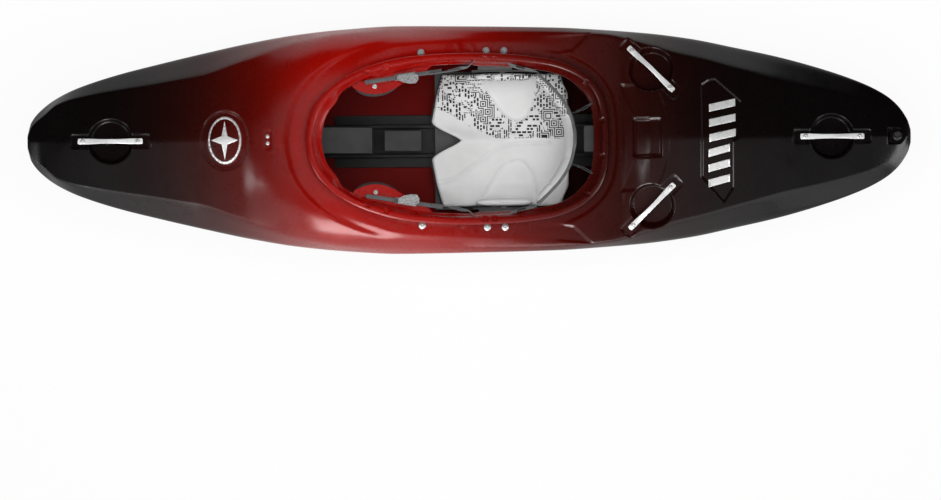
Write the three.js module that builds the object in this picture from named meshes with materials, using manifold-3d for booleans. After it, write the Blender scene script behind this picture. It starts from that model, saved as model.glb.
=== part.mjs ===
// Whitewater kayak: a moulded plastic shell with coaming, grab handles, drain plug, seat, backband,
// thigh braces with ratchet straps, foam pillars and a sliding footrest.
// Millimetres, +Z up, +X towards the stern, origin under the middle of the hull at the lowest point.
import * as THREE from "three";
import { mergeVertices } from "three/addons/utils/BufferGeometryUtils.js";
import Module from "manifold-3d";

const wasm = await Module();
wasm.setup();

// Driving dimensions
const clear = 0.3; // gap between touching pieces
const overrun = 30; // how far a cutter runs past what it cuts
const weld = 1e-4; // points closer than this are one point
const sides = { bowl: 16, boss: 8, seat: 10, hole: 8, slot: 6, screw: 12, turned: 20 };
const hull = { length: 2460, beam: 641, depth: 380, wall: 5, stations: 28, innerShare: 0.488 };
const hullFront = -hull.length / 2;
const hullRear = hull.length / 2;
const coaming = {
  length: 840, width: 476, centreX: -34, rise: 23, steps: 40,
  lipOut: 35, lipDrop: 8, lipUnder: 12, lipRoot: 20, crestOut: 24, crestIn: 17,
  crestDrop: 3, footOut: 9, footIn: 0, wallLift: 4,
};
const topHeight = hull.depth + coaming.rise;
const coamingHalf = coaming.length / 2;
const coamingRear = coaming.centreX + coamingHalf;

// Shape of the hull along its length: [share of length, share of depth or of half the beam]
const breadthShares = [
  [0, 0.06], [0.004, 0.169], [0.017, 0.293], [0.033, 0.384], [0.056, 0.472], [0.1, 0.587],
  [0.15, 0.687], [0.2, 0.779], [0.25, 0.863], [0.3, 0.928], [0.35, 0.969], [0.42, 1], [0.5, 0.994],
  [0.6, 0.978], [0.65, 0.955], [0.7, 0.926], [0.75, 0.876], [0.8, 0.797], [0.85, 0.711],
  [0.9, 0.601], [0.94, 0.491], [0.966, 0.393], [0.983, 0.293], [0.9966, 0.144], [1, 0.06],
];
const keelShares = [
  [0, 0.803], [0.004, 0.739], [0.017, 0.668], [0.033, 0.611], [0.056, 0.537], [0.1, 0.408],
  [0.15, 0.287], [0.2, 0.189], [0.25, 0.113], [0.3, 0.055], [0.35, 0.023], [0.4, 0.007],
  [0.45, 0], [0.65, 0], [0.7, 0.016], [0.75, 0.045], [0.8, 0.095], [0.85, 0.159], [0.9, 0.247],
  [0.94, 0.338], [0.966, 0.405], [0.983, 0.457], [0.9966, 0.523], [1, 0.563],
];
const knuckleShares = [
  [0, 0.81], [0.02, 0.74], [0.05, 0.69], [0.081, 0.647], [0.197, 0.474], [0.306, 0.32],
  [0.4, 0.295], [0.6, 0.295], [0.67, 0.3], [0.74, 0.342], [0.81, 0.379], [0.857, 0.408],
  [0.902, 0.432], [0.95, 0.48], [1, 0.569],
];
const gunwaleShares = [
  [0, 0.817], [0.02, 0.765], [0.05, 0.732], [0.1, 0.665], [0.173, 0.603], [0.264, 0.561],
  [0.5, 0.534], [0.768, 0.5], [0.81, 0.488], [0.9215, 0.513], [1, 0.576],
];
const creaseShares = [
  [0, 0.83], [0.022, 0.858], [0.092, 0.805], [0.173, 0.8], [0.243, 0.783], [0.289, 0.747],
  [0.35, 0.718], [0.42, 0.658], [0.5, 0.62], [0.58, 0.6], [0.65, 0.618], [0.7, 0.653],
  [0.737, 0.671], [0.811, 0.663], [0.857, 0.65], [0.903, 0.626], [0.9375, 0.61], [1, 0.585],
];
const deckShares = [
  [0, 0.832], [0.0034, 0.847], [0.015, 0.876], [0.033, 0.884], [0.056, 0.891], [0.124, 0.891],
  [0.147, 0.905], [0.17, 0.921], [0.192, 0.934], [0.238, 0.95], [0.258, 0.979], [0.283, 1],
  [0.306, 1], [0.329, 0.985], [0.3515, 0.982], [0.374, 0.97], [0.397, 0.95], [0.42, 0.93],
  [0.4425, 0.89], [0.465, 0.845], [0.488, 0.795], [0.511, 0.75], [0.5336, 0.715], [0.556, 0.69],
  [0.579, 0.668], [0.602, 0.65], [0.6246, 0.637], [0.647, 0.635], [0.6687, 0.65],
  [0.6758, 0.685], [0.689, 0.735], [0.7, 0.79], [0.7053, 0.81], [0.725, 0.83], [0.738, 0.83],
  [0.761, 0.817], [0.8066, 0.774], [0.829, 0.751], [0.852, 0.737], [0.875, 0.707],
  [0.8976, 0.692], [0.92, 0.678], [0.943, 0.663], [0.966, 0.655], [0.983, 0.647],
  [0.993, 0.626], [1, 0.592],
];
const creaseOutShares = [
  [0, 0.72], [0.017, 0.74], [0.033, 0.83], [0.077, 0.77], [0.145, 0.73], [0.19, 0.73],
  [0.235, 0.8], [0.28, 0.88], [0.306, 0.915], [0.36, 0.95], [0.65, 0.95], [0.7, 0.88],
  [0.737, 0.82], [0.771, 0.79], [0.811, 0.745], [0.8635, 0.69], [0.915, 0.68], [0.96, 0.66],
  [1, 0.62],
];
const crownShares = [
  [0, 1.1], [0.2, 1.15], [0.24, 1.5], [0.27, 2.5], [0.3, 4], [0.33, 6], [0.465, 6], [0.511, 4],
  [0.58, 3], [0.65, 2], [0.7, 1.4], [0.75, 1.15], [1, 1.1],
];
const chineOutShares = [
  [0, 0.5], [0.1, 0.6], [0.25, 0.75], [0.4, 0.84], [0.65, 0.84], [0.8, 0.75], [1, 0.5],
];
const flatOutShares = [
  [0, 0.15], [0.1, 0.25], [0.25, 0.42], [0.4, 0.55], [0.65, 0.55], [0.8, 0.42], [1, 0.15],
];
const knuckleOutShare = 0.95;
const chineRiseShare = 0.36;
const deckLineShares = [1, 0.93, 0.84, 0.72, 0.56, 0.34, 0];

// Coaming outline, [share of half length, share of half width], and its height along the length
const coamingShares = [
  [-1, 0], [-0.953, 0.36], [-0.855, 0.575], [-0.72, 0.742], [-0.56, 0.86], [-0.379, 0.942],
  [-0.105, 0.993], [0.183, 1], [0.474, 0.968], [0.69, 0.895], [0.86, 0.738], [0.965, 0.49], [1, 0],
];
const coamingTopShares = [
  [-1, 0.973], [-0.92, 0.993], [-0.79, 1], [-0.655, 0.979], [-0.52, 0.944], [-0.388, 0.91],
  [-0.255, 0.8685], [-0.121, 0.834], [0.012, 0.794], [0.145, 0.757], [0.279, 0.73],
  [0.412, 0.702], [0.545, 0.68], [0.676, 0.665], [0.81, 0.66], [1, 0.65],
];

// Fittings on the deck
const grab = {
  length: 180, width: 16, thickness: 5.5, arch: 10, foot: 24, steps: 12,
  wellRadius: 64, wellDepth: 32, trayLength: 222, trayWidth: 42, trayDepth: 6,
  bossRadius: 10, bossDepth: 16, bossFloor: 3, screwSpan: 152, probe: 24,
  bowIn: 231, sternIn: 221, sideBehind: 118, sideY: 192,
};
const grabScrew = { shank: 3, head: 7, headHeight: 4, length: 14 };
const drain = {
  endIn: 39, seatDrop: 11, recessFront: 26, recessHalf: 24, bossRadius: 14, bossDepth: 24,
  shank: 8, shankLength: 18, head: 12.5, headHeight: 10, gasket: 2, gasketRadius: 11,
  slotWidth: 3, slotDepth: 3.5,
};
const drainX = hullRear - drain.endIn;
const deckScrew = { shank: 3, head: 10, headHeight: 4, seatRadius: 13, seatLift: 1, nut: 7, nutHeight: 4 };
const deckScrewSpots = {
  thigh: { x: -136, y: 240 },
  hip_front: { x: 45, y: 246 },
  hip_rear: { x: 95, y: 246 },
};

// Rail and pillars
const rail = { front: -430, rear: 420, half: 74, base: 16, ribIn: 36.3, ribWide: 10, ribTop: 34 };
const pillar = {
  half: 36, bowIn: 354, rear: -276, stepX: -424, stepTop: 262, noseTop: 170,
  blockHalf: 29, blockFront: -242, blockRear: -138, blockTop: 118, blockNose: 84,
  tailFrontIn: 68, sternIn: 344, tailStepIn: 22, tailTop: 196,
};

// Footrest
const foot = {
  bowIn: 638, z: 179, recessLong: 77, recessHigh: 36, recessDeep: 5, padDeep: 9,
  railFront: -200, railRear: 170, railThick: 7, railHigh: 26, standoff: 22, sleeve: 9,
  screwHead: 9, screwHeadHeight: 4, screwShank: 3,
  plateX: -60, plateThick: 6, carriageLong: 56, carriageThick: 14,
  padThick: 16, padCols: 10, padRows: 6, plateHigh: 75, pillarGap: 34.35, screwBack: 1,
};
const footX = hullFront + foot.bowIn;
const footPlateShares = [
  [0, -0.21], [0.27, -0.6], [0.5, -0.93], [1, -0.93], [1, 1], [0.5, 1], [0.16, 0.67], [0, 0.21],
];

// Seat
const seat = {
  front: -100, rear: 262, half: 195, panThick: 5, cheekFront: 5, cheekRear: 185, cheekTop: 185,
  cheekThick: 5, slotLong: 58, slotHigh: 7, screwX: 92, screwZ: 150,
};
const pad = {
  half: 187, notchX: -32, notchHalf: 56, mouthX: -113, shoulderX: -100, shoulderY: 125, cornerX: -83,
  rear: 277, rearCornerX: 255, rearTurnY: 120, cols: 18, rows: 12,
  base: 26, sideRise: 30, dish: 13, frontRise: 12, ridge: 9, edgeDrop: 10, notchPower: 1.4,
};
const hipPad = { front: 10, rear: 175, thick: 21.5, low: 94, high: 183, cols: 8, rows: 6 };
const hipBracket = {
  front: 22, rear: 118, thick: 4, flangeOut: 258, flangeIn: 226, wallY: 195.3, low: 84, bendZ: 196, settle: 1,
};
const hipScrew = { shank: 3, head: 8, headHeight: 3, tail: 6 };

// Thigh brace, ratchet and ladder strap share one frame: origin on the strap at the ratchet,
// first axis along the strap towards the stern, third axis up. Shares are of the coaming's half length.
const strapShares = { front: -0.6095, rear: -0.1048, ratchet: -0.35 };
// Ends of the strap: drops are measured down from the coaming's top
const strapEnds = { frontY: 157, frontDrop: 48, rearY: 190, rearDrop: 103 };
const strapFront = {
  x: coaming.centreX + strapShares.front * coamingHalf, y: strapEnds.frontY, z: topHeight - strapEnds.frontDrop,
};
const strapRear = {
  x: coaming.centreX + strapShares.rear * coamingHalf, y: strapEnds.rearY, z: topHeight - strapEnds.rearDrop,
};
const ratchetX = coaming.centreX + strapShares.ratchet * coamingHalf;
const ladder = {
  width: 11, thick: 4, tooth: 1.2, pitch: 9, armStart: 73, armLong: 85, armHigh: 22, armThick: 4, armInset: 1,
};
const brace = {
  front: -150, rear: 96, inner: -37, outer: 76, thick: 5, drop: 9.3, wingY: 40, wingDrop: 20, bendY: 24,
  slotLong: 60, slotWide: 7, planSteps: 32,
};
// Outline of the brace seen from above: [share of front to rear, share of inner to outer]
const bracePlanShares = [
  [0, 0.29], [0.073, 0.15], [0.187, 0.035], [0.325, 0], [0.463, 0.06], [0.61, 0.186], [0.789, 0.31],
  [0.951, 0.487], [1, 0.717], [0.984, 0.912], [0.837, 1], [0.61, 0.965], [0.366, 0.717], [0.122, 0.487],
];
const thighPad = { front: -138, rear: -14, inner: -41, outer: 12, thick: 15, cols: 9, rows: 6 };
const thighScrew = {
  x: -87, y: -14, head: 7, headHeight: 3.5, shank: 3,
  holes: 4, holePitch: 13, holeDrift: 1.5, holeRadius: 2.2,
};
const ratchet = {
  front: -28, rear: 28, wallY: 6.4, wallThick: 2, plateThick: 3, pivotX: -20, pivotZ: 6, pivotRadius: 3,
  pivotReach: 8.2, wallRound: 7, paddleFront: -27, paddleRear: 33, paddleIn: -24, paddleOut: 5.5,
  paddleLift: 0.5, paddleThick: 6, hubHalf: 5.8, hubLong: 5, hubDrop: 4,
};
// Outline of the lever's paddle seen from above: [share of front to rear, share of in to out]
const paddlePlanShares = [
  [0, 0.86], [0.2, 1], [0.8, 1], [1, 0.75], [1, 0.37], [0.85, 0], [0.6, 0.03], [0.25, 0.28], [0, 0.62],
];

// Backband
const band = {
  endIn: 200, endY: 182, backIn: 103, power: 2.2, shellThick: 6, padThick: 17, top: 274, endTop: 262,
  tab: 292, tabHalf: 26, leanShare: 0.06, cols: 20, rows: 6,
};
const bandLowShares = [[0, 0.41], [0.45, 0.44], [0.7, 0.58], [0.8, 0.7], [1, 0.74]];
// Length and top of the coaming that the two routes below are drawn for
const routeDrawnFor = 840;
const routeDrawnUnder = 403;
const webbing = { thick: 2.4, width: 19, pass: 1.2, steps: 30 }; // pass: room round it in its slots
const webbingRoute = [
  [-62, 191.5, 292], [-38, 195.2, 286], [-22, 197.6, 285], [-7, 200, 289], [2, 207, 291], [14, 220, 289],
  [26, 229, 284], [54, 231.5, 277], [82, 229, 272], [94, 221, 270], [106, 210, 266], [140, 197, 258],
  [168, 191.5, 253], [187, 185.8, 250], [195.2, 179.3, 250], [202.7, 172.3, 250],
];
const bungee = { radius: 2.6, steps: 10 };
const bungeeRoute = [[277.6, 70, 214], [290, 73, 211], [306, 79, 217], [324, 88, 231], [339.8, 98.2, 247.5]];

const colours = {
  shell: "#8c0a05", black: "#191919", grey: "#646464", dark: "#2c2c2c", foam: "#4c4c4c", white: "#dcdcdc",
  steel: "#b8b8b8", alloy: "#a8a8aa",
};

// Interpolation and outline helpers
function shareAt(table, at) {
  // Smooth reading of a share table: a cubic through its rows with level turning points.
  const last = table.length - 1;
  if (at <= table[0][0]) return table[0][1];
  if (at >= table[last][0]) return table[last][1];
  const i = table.findIndex((row) => row[0] > at) - 1;
  const slope = (k) => (table[k + 1][1] - table[k][1]) / (table[k + 1][0] - table[k][0]);
  const tangent = (k) => {
    if (k === 0 || k === last) return k === 0 ? slope(0) : slope(last - 1);
    const before = slope(k - 1);
    const after = slope(k);
    return before * after <= 0 ? 0 : (2 * before * after) / (before + after);
  };
  const span = table[i + 1][0] - table[i][0];
  const t = (at - table[i][0]) / span;
  const a = table[i][1];
  const b = table[i + 1][1];
  const ease = t * t * (3 - 2 * t);
  return a + (b - a) * ease + span * (tangent(i) * t * (1 - t) ** 2 - tangent(i + 1) * t * t * (1 - t));
}

const smooth = (t) => {
  const s = Math.min(1, Math.max(0, t));
  return s * s * (3 - 2 * s);
};

// Hull shape
const lengthShare = (x) => x / hull.length + 0.5;

function hullLines(x) {
  const at = lengthShare(x);
  const half = (hull.beam / 2) * shareAt(breadthShares, at);
  const keel = hull.depth * shareAt(keelShares, at);
  const knuckle = hull.depth * shareAt(knuckleShares, at);
  return {
    half, keel, knuckle,
    chine: keel + (knuckle - keel) * chineRiseShare,
    gunwale: hull.depth * shareAt(gunwaleShares, at),
    crease: hull.depth * shareAt(creaseShares, at),
    deck: hull.depth * shareAt(deckShares, at),
    creaseY: half * shareAt(creaseOutShares, at),
    chineY: half * shareAt(chineOutShares, at),
    flatY: half * shareAt(flatOutShares, at),
    knuckleY: half * knuckleOutShare,
    crown: shareAt(crownShares, at),
  };
}

function deckZ(x, y) {
  const h = hullLines(x);
  return h.deck - (h.deck - h.crease) * Math.min(1, Math.abs(y) / h.creaseY) ** h.crown;
}

function sectionPoints(x) {
  const h = hullLines(x);
  const halfRing = [
    [0, h.keel], [h.flatY, h.keel], [h.chineY, h.chine], [h.knuckleY, h.knuckle], [h.half, h.gunwale],
    ...deckLineShares.map((s) => [s * h.creaseY, h.deck - (h.deck - h.crease) * s ** h.crown]),
  ];
  const other = halfRing.slice(1, -1).reverse().map(([y, z]) => [-y, z]);
  return [...halfRing, ...other];
}

function insetRing(ring, inset) {
  // Moves each point of a counterclockwise outline inwards by the inset, square to its two sides.
  return ring.map(([y, z], i) => {
    const [py, pz] = ring[(i + ring.length - 1) % ring.length];
    const [ny, nz] = ring[(i + 1) % ring.length];
    const a = new THREE.Vector2(z - pz, py - y).normalize();
    const b = new THREE.Vector2(nz - z, y - ny).normalize();
    const m = a.clone().add(b).normalize();
    const reach = inset / Math.max(m.dot(a), 0.6);
    return [y - m.x * reach, z - m.y * reach];
  });
}

// Solids
function geometryOf(positions, faces) {
  return new THREE.BufferGeometry()
    .setAttribute("position", new THREE.BufferAttribute(new Float32Array(positions), 3))
    .setIndex(faces);
}

function solidOf(geometry) {
  const bare = geometry.clone();
  bare.deleteAttribute("normal");
  bare.deleteAttribute("uv");
  const merged = mergeVertices(bare, weld);
  return new wasm.Manifold(
    new wasm.Mesh({
      numProp: 3,
      vertProperties: merged.attributes.position.array,
      triVerts: new Uint32Array(merged.index.array),
    }),
  );
}

function meshOf(solid) {
  const made = solid.getMesh();
  return geometryOf(made.vertProperties, Array.from(made.triVerts));
}

function skin(rings, closed) {
  // Joins equal rings of [x, y, z] into a closed surface: capped at both ends, or run round into a loop.
  const count = rings[0].length;
  const positions = rings.flat(2);
  const faces = [];
  const spans = closed ? rings.length : rings.length - 1;
  for (let i = 0; i < spans; i++) {
    const next = (i + 1) % rings.length;
    for (let j = 0; j < count; j++) {
      const k = (j + 1) % count;
      const [a, b, c, d] = [i * count + j, i * count + k, next * count + k, next * count + j];
      faces.push(a, b, c, a, c, d);
    }
  }
  if (!closed) {
    [0, rings.length - 1].forEach((end) => {
      const centre = [0, 1, 2].map((axis) => rings[end].reduce((sum, p) => sum + p[axis], 0) / count);
      const middle = positions.length / 3;
      positions.push(...centre);
      for (let j = 0; j < count; j++) {
        const k = (j + 1) % count;
        if (end === 0) faces.push(middle, end * count + k, end * count + j);
        else faces.push(middle, end * count + j, end * count + k);
      }
    });
  }
  return geometryOf(positions, faces);
}

function box(x0, x1, y0, y1, z0, z1) {
  return new THREE.BoxGeometry(x1 - x0, y1 - y0, z1 - z0)
    .translate((x0 + x1) / 2, (y0 + y1) / 2, (z0 + z1) / 2);
}

function rod(radius, z0, z1, count) {
  return new THREE.CylinderGeometry(radius, radius, z1 - z0, count)
    .rotateX(Math.PI / 2).translate(0, 0, (z0 + z1) / 2);
}

function turned(profile, count) {
  // A profile of [radius, height] rows from bottom to top on the axis, turned about Z.
  const points = profile.map(([r, h]) => new THREE.Vector2(r, h));
  return new THREE.LatheGeometry(points, count).rotateX(Math.PI / 2);
}

function prism(points, z0, z1) {
  const shape = new THREE.Shape(points.map(([x, y]) => new THREE.Vector2(x, y)));
  return new THREE.ExtrudeGeometry(shape, { depth: z1 - z0, bevelEnabled: false }).translate(0, 0, z0);
}

function alongX(outline, x0, x1) {
  // A prism whose outline is given as [y, z] rows.
  const basis = new THREE.Matrix4().makeBasis(new THREE.Vector3(0, 1, 0), new THREE.Vector3(0, 0, 1),
    new THREE.Vector3(1, 0, 0));
  return prism(outline, x0, x1).applyMatrix4(basis);
}

function slotOutline(long, wide) {
  const points = [];
  [1, -1].forEach((side) => {
    for (let i = 0; i <= sides.slot; i++) {
      const a = (Math.PI * i) / sides.slot - (side * Math.PI) / 2;
      points.push([(side * (long - wide)) / 2 + (wide / 2) * Math.cos(a), (wide / 2) * Math.sin(a)]);
    }
  });
  return points;
}

function screwShape({ shank, head, headHeight }, z0, z1) {
  // A pan head whose underside lies at z1 and a shank that reaches down to z0.
  const lip = headHeight / 2;
  return turned([[0, z0], [shank, z0], [shank, z1], [head, z1], [head, z1 + lip],
    [head * 0.7, z1 + headHeight], [0, z1 + headHeight]], sides.boss);
}

function pillow(width, depth, thick, cols, rows, pull) {
  // A crowned cushion in the XY plane, thickest in the middle, whose sides are drawn in between the corners.
  const rings = [];
  const round = (t) => Math.sqrt(Math.max(0, 1 - t ** 4));
  for (let i = 0; i <= cols; i++) {
    const u = -Math.cos((Math.PI * i) / cols);
    const endShare = i === 0 || i === cols ? 0.35 : 1;
    const halfDepth = (depth / 2) * (1 - pull * (1 - u * u)) * (0.86 + 0.14 * round(u));
    const ring = [];
    for (let j = 0; j < 2 * rows; j++) {
      const a = (Math.PI * j) / rows;
      const v = Math.cos(a);
      const x = (width / 2) * u * (1 - pull * (1 - v * v) * Math.abs(u));
      const swell = Math.max(round(u), 0.25) * endShare;
      const full = Math.sign(Math.sin(a)) * Math.abs(Math.sin(a)) ** 0.6;
      ring.push([x, v * halfDepth, (thick / 2) * full * swell]);
    }
    rings.push(ring);
  }
  return skin(rings, false);
}

function frameMatrix(origin, along, across) {
  const x = along.clone().normalize();
  const z = x.clone().cross(across).normalize();
  const y = z.clone().cross(x);
  return new THREE.Matrix4().makeBasis(x, y, z).setPosition(origin);
}

// Scene graph
const kayak = new THREE.Group();
kayak.name = "kayak";

const materials = Object.fromEntries(
  Object.entries(colours).map(([name, color]) => {
    const metal = name === "steel" || name === "alloy" ? 1 : 0;
    return [name, new THREE.MeshStandardMaterial({ color, roughness: metal ? 0.35 : 0.6, metalness: metal })];
  }),
);

function addPiece(name, geometry, colour) {
  const mesh = new THREE.Mesh(geometry, materials[colour].clone());
  mesh.name = name;
  kayak.add(mesh);
}

function mirrored(geometry) {
  // The other side's copy, with each face turned round again so that it looks outwards.
  const made = geometry.index ? geometry.toNonIndexed() : geometry.clone();
  made.scale(1, -1, 1);
  const p = made.attributes.position;
  for (let i = 0; i < p.count; i += 3) {
    const b = [p.getX(i + 1), p.getY(i + 1), p.getZ(i + 1)];
    p.setXYZ(i + 1, p.getX(i + 2), p.getY(i + 2), p.getZ(i + 2));
    p.setXYZ(i + 2, ...b);
  }
  made.deleteAttribute("normal");
  return made;
}

function addPair(name, geometry, colour) {
  // The piece as given lies on the starboard side, where y is positive.
  addPiece(`${name}_starboard`, geometry, colour);
  addPiece(`${name}_port`, mirrored(geometry), colour);
}

const bothSides = (solid) => solid.add(solidOf(mirrored(meshOf(solid))));

// Stations lie closer together towards the ends, where the outline turns quickly.
function stationPlaces(from, to, count) {
  return Array.from({ length: count + 1 }, (_, i) => {
    const even = i / count;
    const bunched = (1 - Math.cos(Math.PI * even)) / 2;
    return from + (to - from) * (0.45 * even + 0.55 * bunched);
  });
}

function hullLoft(inset, from, to, count) {
  const rings = stationPlaces(from, to, count).map((x) =>
    (inset ? insetRing(sectionPoints(x), inset) : sectionPoints(x)).map(([y, z]) => [x, y, z]));
  return solidOf(skin(rings, false));
}

const innerEnd = hull.length * hull.innerShare;
const outerHull = hullLoft(0, hullFront, hullRear, hull.stations);
const underCoaming = hullLoft(-clear, hullFront, hullRear, hull.stations);
const innerHull = hullLoft(hull.wall, -innerEnd, innerEnd, hull.stations);
const innerSpace = hullLoft(hull.wall + clear, -innerEnd, innerEnd, hull.stations);
const wallMiddle = hullLoft(hull.wall / 2, -innerEnd, innerEnd, hull.stations);

// Coaming
function coamingCurve() {
  const side = coamingShares.map(([s, w]) => new THREE.Vector3(
    coaming.centreX + s * coamingHalf, (w * coaming.width) / 2, 0));
  const other = side.slice(1, -1).reverse().map((p) => new THREE.Vector3(p.x, -p.y, 0));
  return new THREE.CatmullRomCurve3([...side, ...other], true, "centripetal");
}

function coamingTop(x) {
  return topHeight * shareAt(coamingTopShares, (x - coaming.centreX) / coamingHalf);
}

function coamingStations() {
  // The outer edge of the lip, seen from above, with the outward normal there.
  const curve = coamingCurve();
  return Array.from({ length: coaming.steps }, (_, i) => {
    const at = i / coaming.steps;
    const p = curve.getPointAt(at);
    const t = curve.getTangentAt(at);
    return { x: p.x, y: p.y, nx: -t.y, ny: t.x };
  });
}

function outFrom(s, out) {
  return [s.x + s.nx * (out - coaming.lipOut), s.y + s.ny * (out - coaming.lipOut)];
}

function coamingSolid() {
  const c = coaming;
  const rings = coamingStations().map((s) => {
    const top = coamingTop(outFrom(s, c.crestOut)[0]);
    const foot = (out) => deckZ(...outFrom(s, out)) - hull.wall / 2;
    const rows = [
      [c.footIn, foot(c.footIn)], [c.footOut, foot(c.footOut)], [c.lipRoot, top - c.lipUnder],
      [c.lipOut - c.crestDrop, top - c.lipUnder], [c.lipOut, top - c.lipDrop],
      [c.lipOut - c.crestDrop, top - c.crestDrop], [c.crestOut, top], [c.crestIn, top - c.crestDrop],
      [c.footIn, foot(c.footIn) + c.wallLift],
    ];
    return rows.map(([out, z]) => [...outFrom(s, out), z]);
  });
  return solidOf(skin(rings, true));
}

function cockpitCut() {
  const outline = coamingStations().map((s) => outFrom(s, (coaming.footIn + coaming.footOut) / 2)).reverse();
  return solidOf(prism(outline, hull.depth / 3, topHeight + overrun));
}

// Places of the four grab handles, each in a frame laid on the deck
const grabPlaces = {
  bow: { x: hullFront + grab.bowIn, y: 0, turn: 0 },
  stern: { x: hullRear - grab.sternIn, y: 0, turn: 0 },
  starboard: { x: coamingRear + grab.sideBehind, y: grab.sideY, turn: -Math.PI / 4 },
  port: { x: coamingRear + grab.sideBehind, y: -grab.sideY, turn: Math.PI / 4 },
};

function deckFrame({ x, y, turn }) {
  const along = new THREE.Vector2(Math.cos(turn), Math.sin(turn));
  const at = (a, b) => {
    const px = x + along.x * a - along.y * b;
    const py = y + along.y * a + along.x * b;
    return new THREE.Vector3(px, py, deckZ(px, py));
  };
  const reach = grab.screwSpan / 2;
  const xAxis = at(reach, 0).sub(at(-reach, 0));
  const yAxis = at(0, grab.probe).sub(at(0, -grab.probe));
  const middle = at(reach, 0).add(at(-reach, 0)).multiplyScalar(0.5);
  return frameMatrix(middle, xAxis, yAxis);
}

function wellProfile(extra) {
  // The finger well: a flat-bottomed bowl with steep sides. The extra is the thickness of its wall.
  const r = grab.wellRadius + extra;
  const d = grab.wellDepth + extra;
  return [[0, -d], [r * 0.74, -d], [r * 0.96, -d * 0.7], [r, -d * 0.4]];
}

function grabRecess(place, extra) {
  const up = extra ? 0 : overrun;
  const bowl = turned([...wellProfile(extra), [grab.wellRadius + extra, up], [0, up]], sides.bowl);
  const halfLong = grab.trayLength / 2 + extra;
  const halfWide = grab.trayWidth / 2 + extra;
  const tray = box(-halfLong, halfLong, -halfWide, halfWide, -grab.trayDepth - extra, up);
  return solidOf(bowl).add(solidOf(tray)).transform(place.elements);
}

function grabBosses(place, radius, depth, up) {
  return [-1, 1]
    .map((side) => solidOf(rod(radius, -depth, up, sides.boss).translate((side * grab.screwSpan) / 2, 0, 0)))
    .reduce((a, b) => a.add(b))
    .transform(place.elements);
}

// Side recess of the footrest screw: a frame on the starboard side of the hull, first axis towards the
// stern, second axis up the side, third axis into the hull
function sideFrame() {
  const sideY = (x, z) => {
    const h = hullLines(x);
    const t = (z - h.knuckle) / (h.gunwale - h.knuckle);
    return h.knuckleY + (h.half - h.knuckleY) * t;
  };
  const at = (x, z) => new THREE.Vector3(x, sideY(x, z), z);
  const probe = foot.recessHigh / 2;
  const along = at(footX + probe, foot.z).sub(at(footX - probe, foot.z)).normalize();
  const rise = at(footX, foot.z + probe).sub(at(footX, foot.z - probe));
  return frameMatrix(at(footX, foot.z), along, rise);
}

const footFrame = sideFrame();
// How far the foot plate reaches from the hull's side towards the front pillar
const footReach = (footFrame.elements[13] - pillar.half - foot.pillarGap) / -footFrame.elements[9];

function footRecess(deep, extra) {
  const outline = slotOutline(foot.recessLong + 2 * extra, foot.recessHigh + 2 * extra);
  return solidOf(prism(outline, extra ? 0 : -overrun, deep)).transform(footFrame.elements);
}

function deckSeatZ({ x, y }) {
  return deckZ(x, y) + deckScrew.seatLift;
}

function deckSeats(shell) {
  // Flat round seats for the deck screws, each with its hole.
  let made = shell;
  Object.values(deckScrewSpots).forEach((spot) => {
    const z = deckSeatZ(spot);
    const lower = deckZ(spot.x, spot.y + deckScrew.seatRadius) - hull.wall;
    const cylinder = (radius, z0, z1, count) =>
      bothSides(solidOf(rod(radius, z0, z1, count).translate(spot.x, spot.y, 0)));
    const boss = cylinder(deckScrew.seatRadius, lower, z, sides.seat);
    const cut = cylinder(deckScrew.seatRadius, z, z + overrun, sides.seat);
    const hole = cylinder(deckScrew.shank + clear, lower - overrun, z + overrun, sides.hole);
    made = made.add(boss).subtract(cut).subtract(hole);
  });
  return made;
}

function webbingSlots() {
  // Where the webbing passes through the coaming, a little wider than the strap.
  return bothSides(solidOf(flatStrap(webbingRoute, webbing.width + 2 * webbing.pass,
    webbing.thick + 2 * webbing.pass, webbing.steps)));
}

function hullShell() {
  let shell = outerHull.subtract(innerHull).subtract(cockpitCut());
  const frames = Object.values(grabPlaces).map(deckFrame);
  frames.forEach((place) => {
    shell = shell.add(grabRecess(place, hull.wall).intersect(wallMiddle));
    const bosses = grabBosses(place, grab.bossRadius, grab.trayDepth + grab.bossDepth, 0);
    shell = shell.add(bosses.intersect(wallMiddle));
  });
  frames.forEach((place) => {
    shell = shell.subtract(grabRecess(place, 0));
    shell = shell.subtract(
      grabBosses(place, grabScrew.shank + clear, grab.trayDepth + grab.bossDepth - grab.bossFloor, overrun));
  });
  shell = deckSeats(shell);
  const backing = footRecess(foot.padDeep, hull.wall);
  shell = shell.add(bothSides(backing.intersect(wallMiddle)));
  shell = shell.subtract(bothSides(footRecess(foot.recessDeep, 0)));
  const boltHole = solidOf(rod(foot.screwShank + clear, -overrun, overrun, sides.hole))
    .transform(footFrame.elements);
  shell = shell.subtract(bothSides(boltHole));
  const seatZ = drainSeatZ();
  const block = solidOf(box(drainX - drain.recessFront - hull.wall, hullRear,
    -drain.recessHalf - hull.wall, drain.recessHalf + hull.wall, seatZ - hull.wall, seatZ + overrun));
  const boss = solidOf(rod(drain.bossRadius, seatZ - drain.bossDepth, seatZ, sides.screw)
    .translate(drainX, 0, 0));
  shell = shell.add(block.add(boss).intersect(wallMiddle));
  const recess = solidOf(box(drainX - drain.recessFront, hullRear + overrun,
    -drain.recessHalf, drain.recessHalf, seatZ, seatZ + overrun));
  const boreLow = seatZ - drain.bossDepth - hull.wall;
  const bore = solidOf(rod(drain.shank + clear, boreLow, seatZ + overrun, sides.turned)
    .translate(drainX, 0, 0));
  shell = shell.subtract(recess).subtract(bore);
  return shell.subtract(webbingSlots());
}

function drainSeatZ() {
  return deckZ(drainX, 0) - drain.seatDrop;
}

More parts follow.
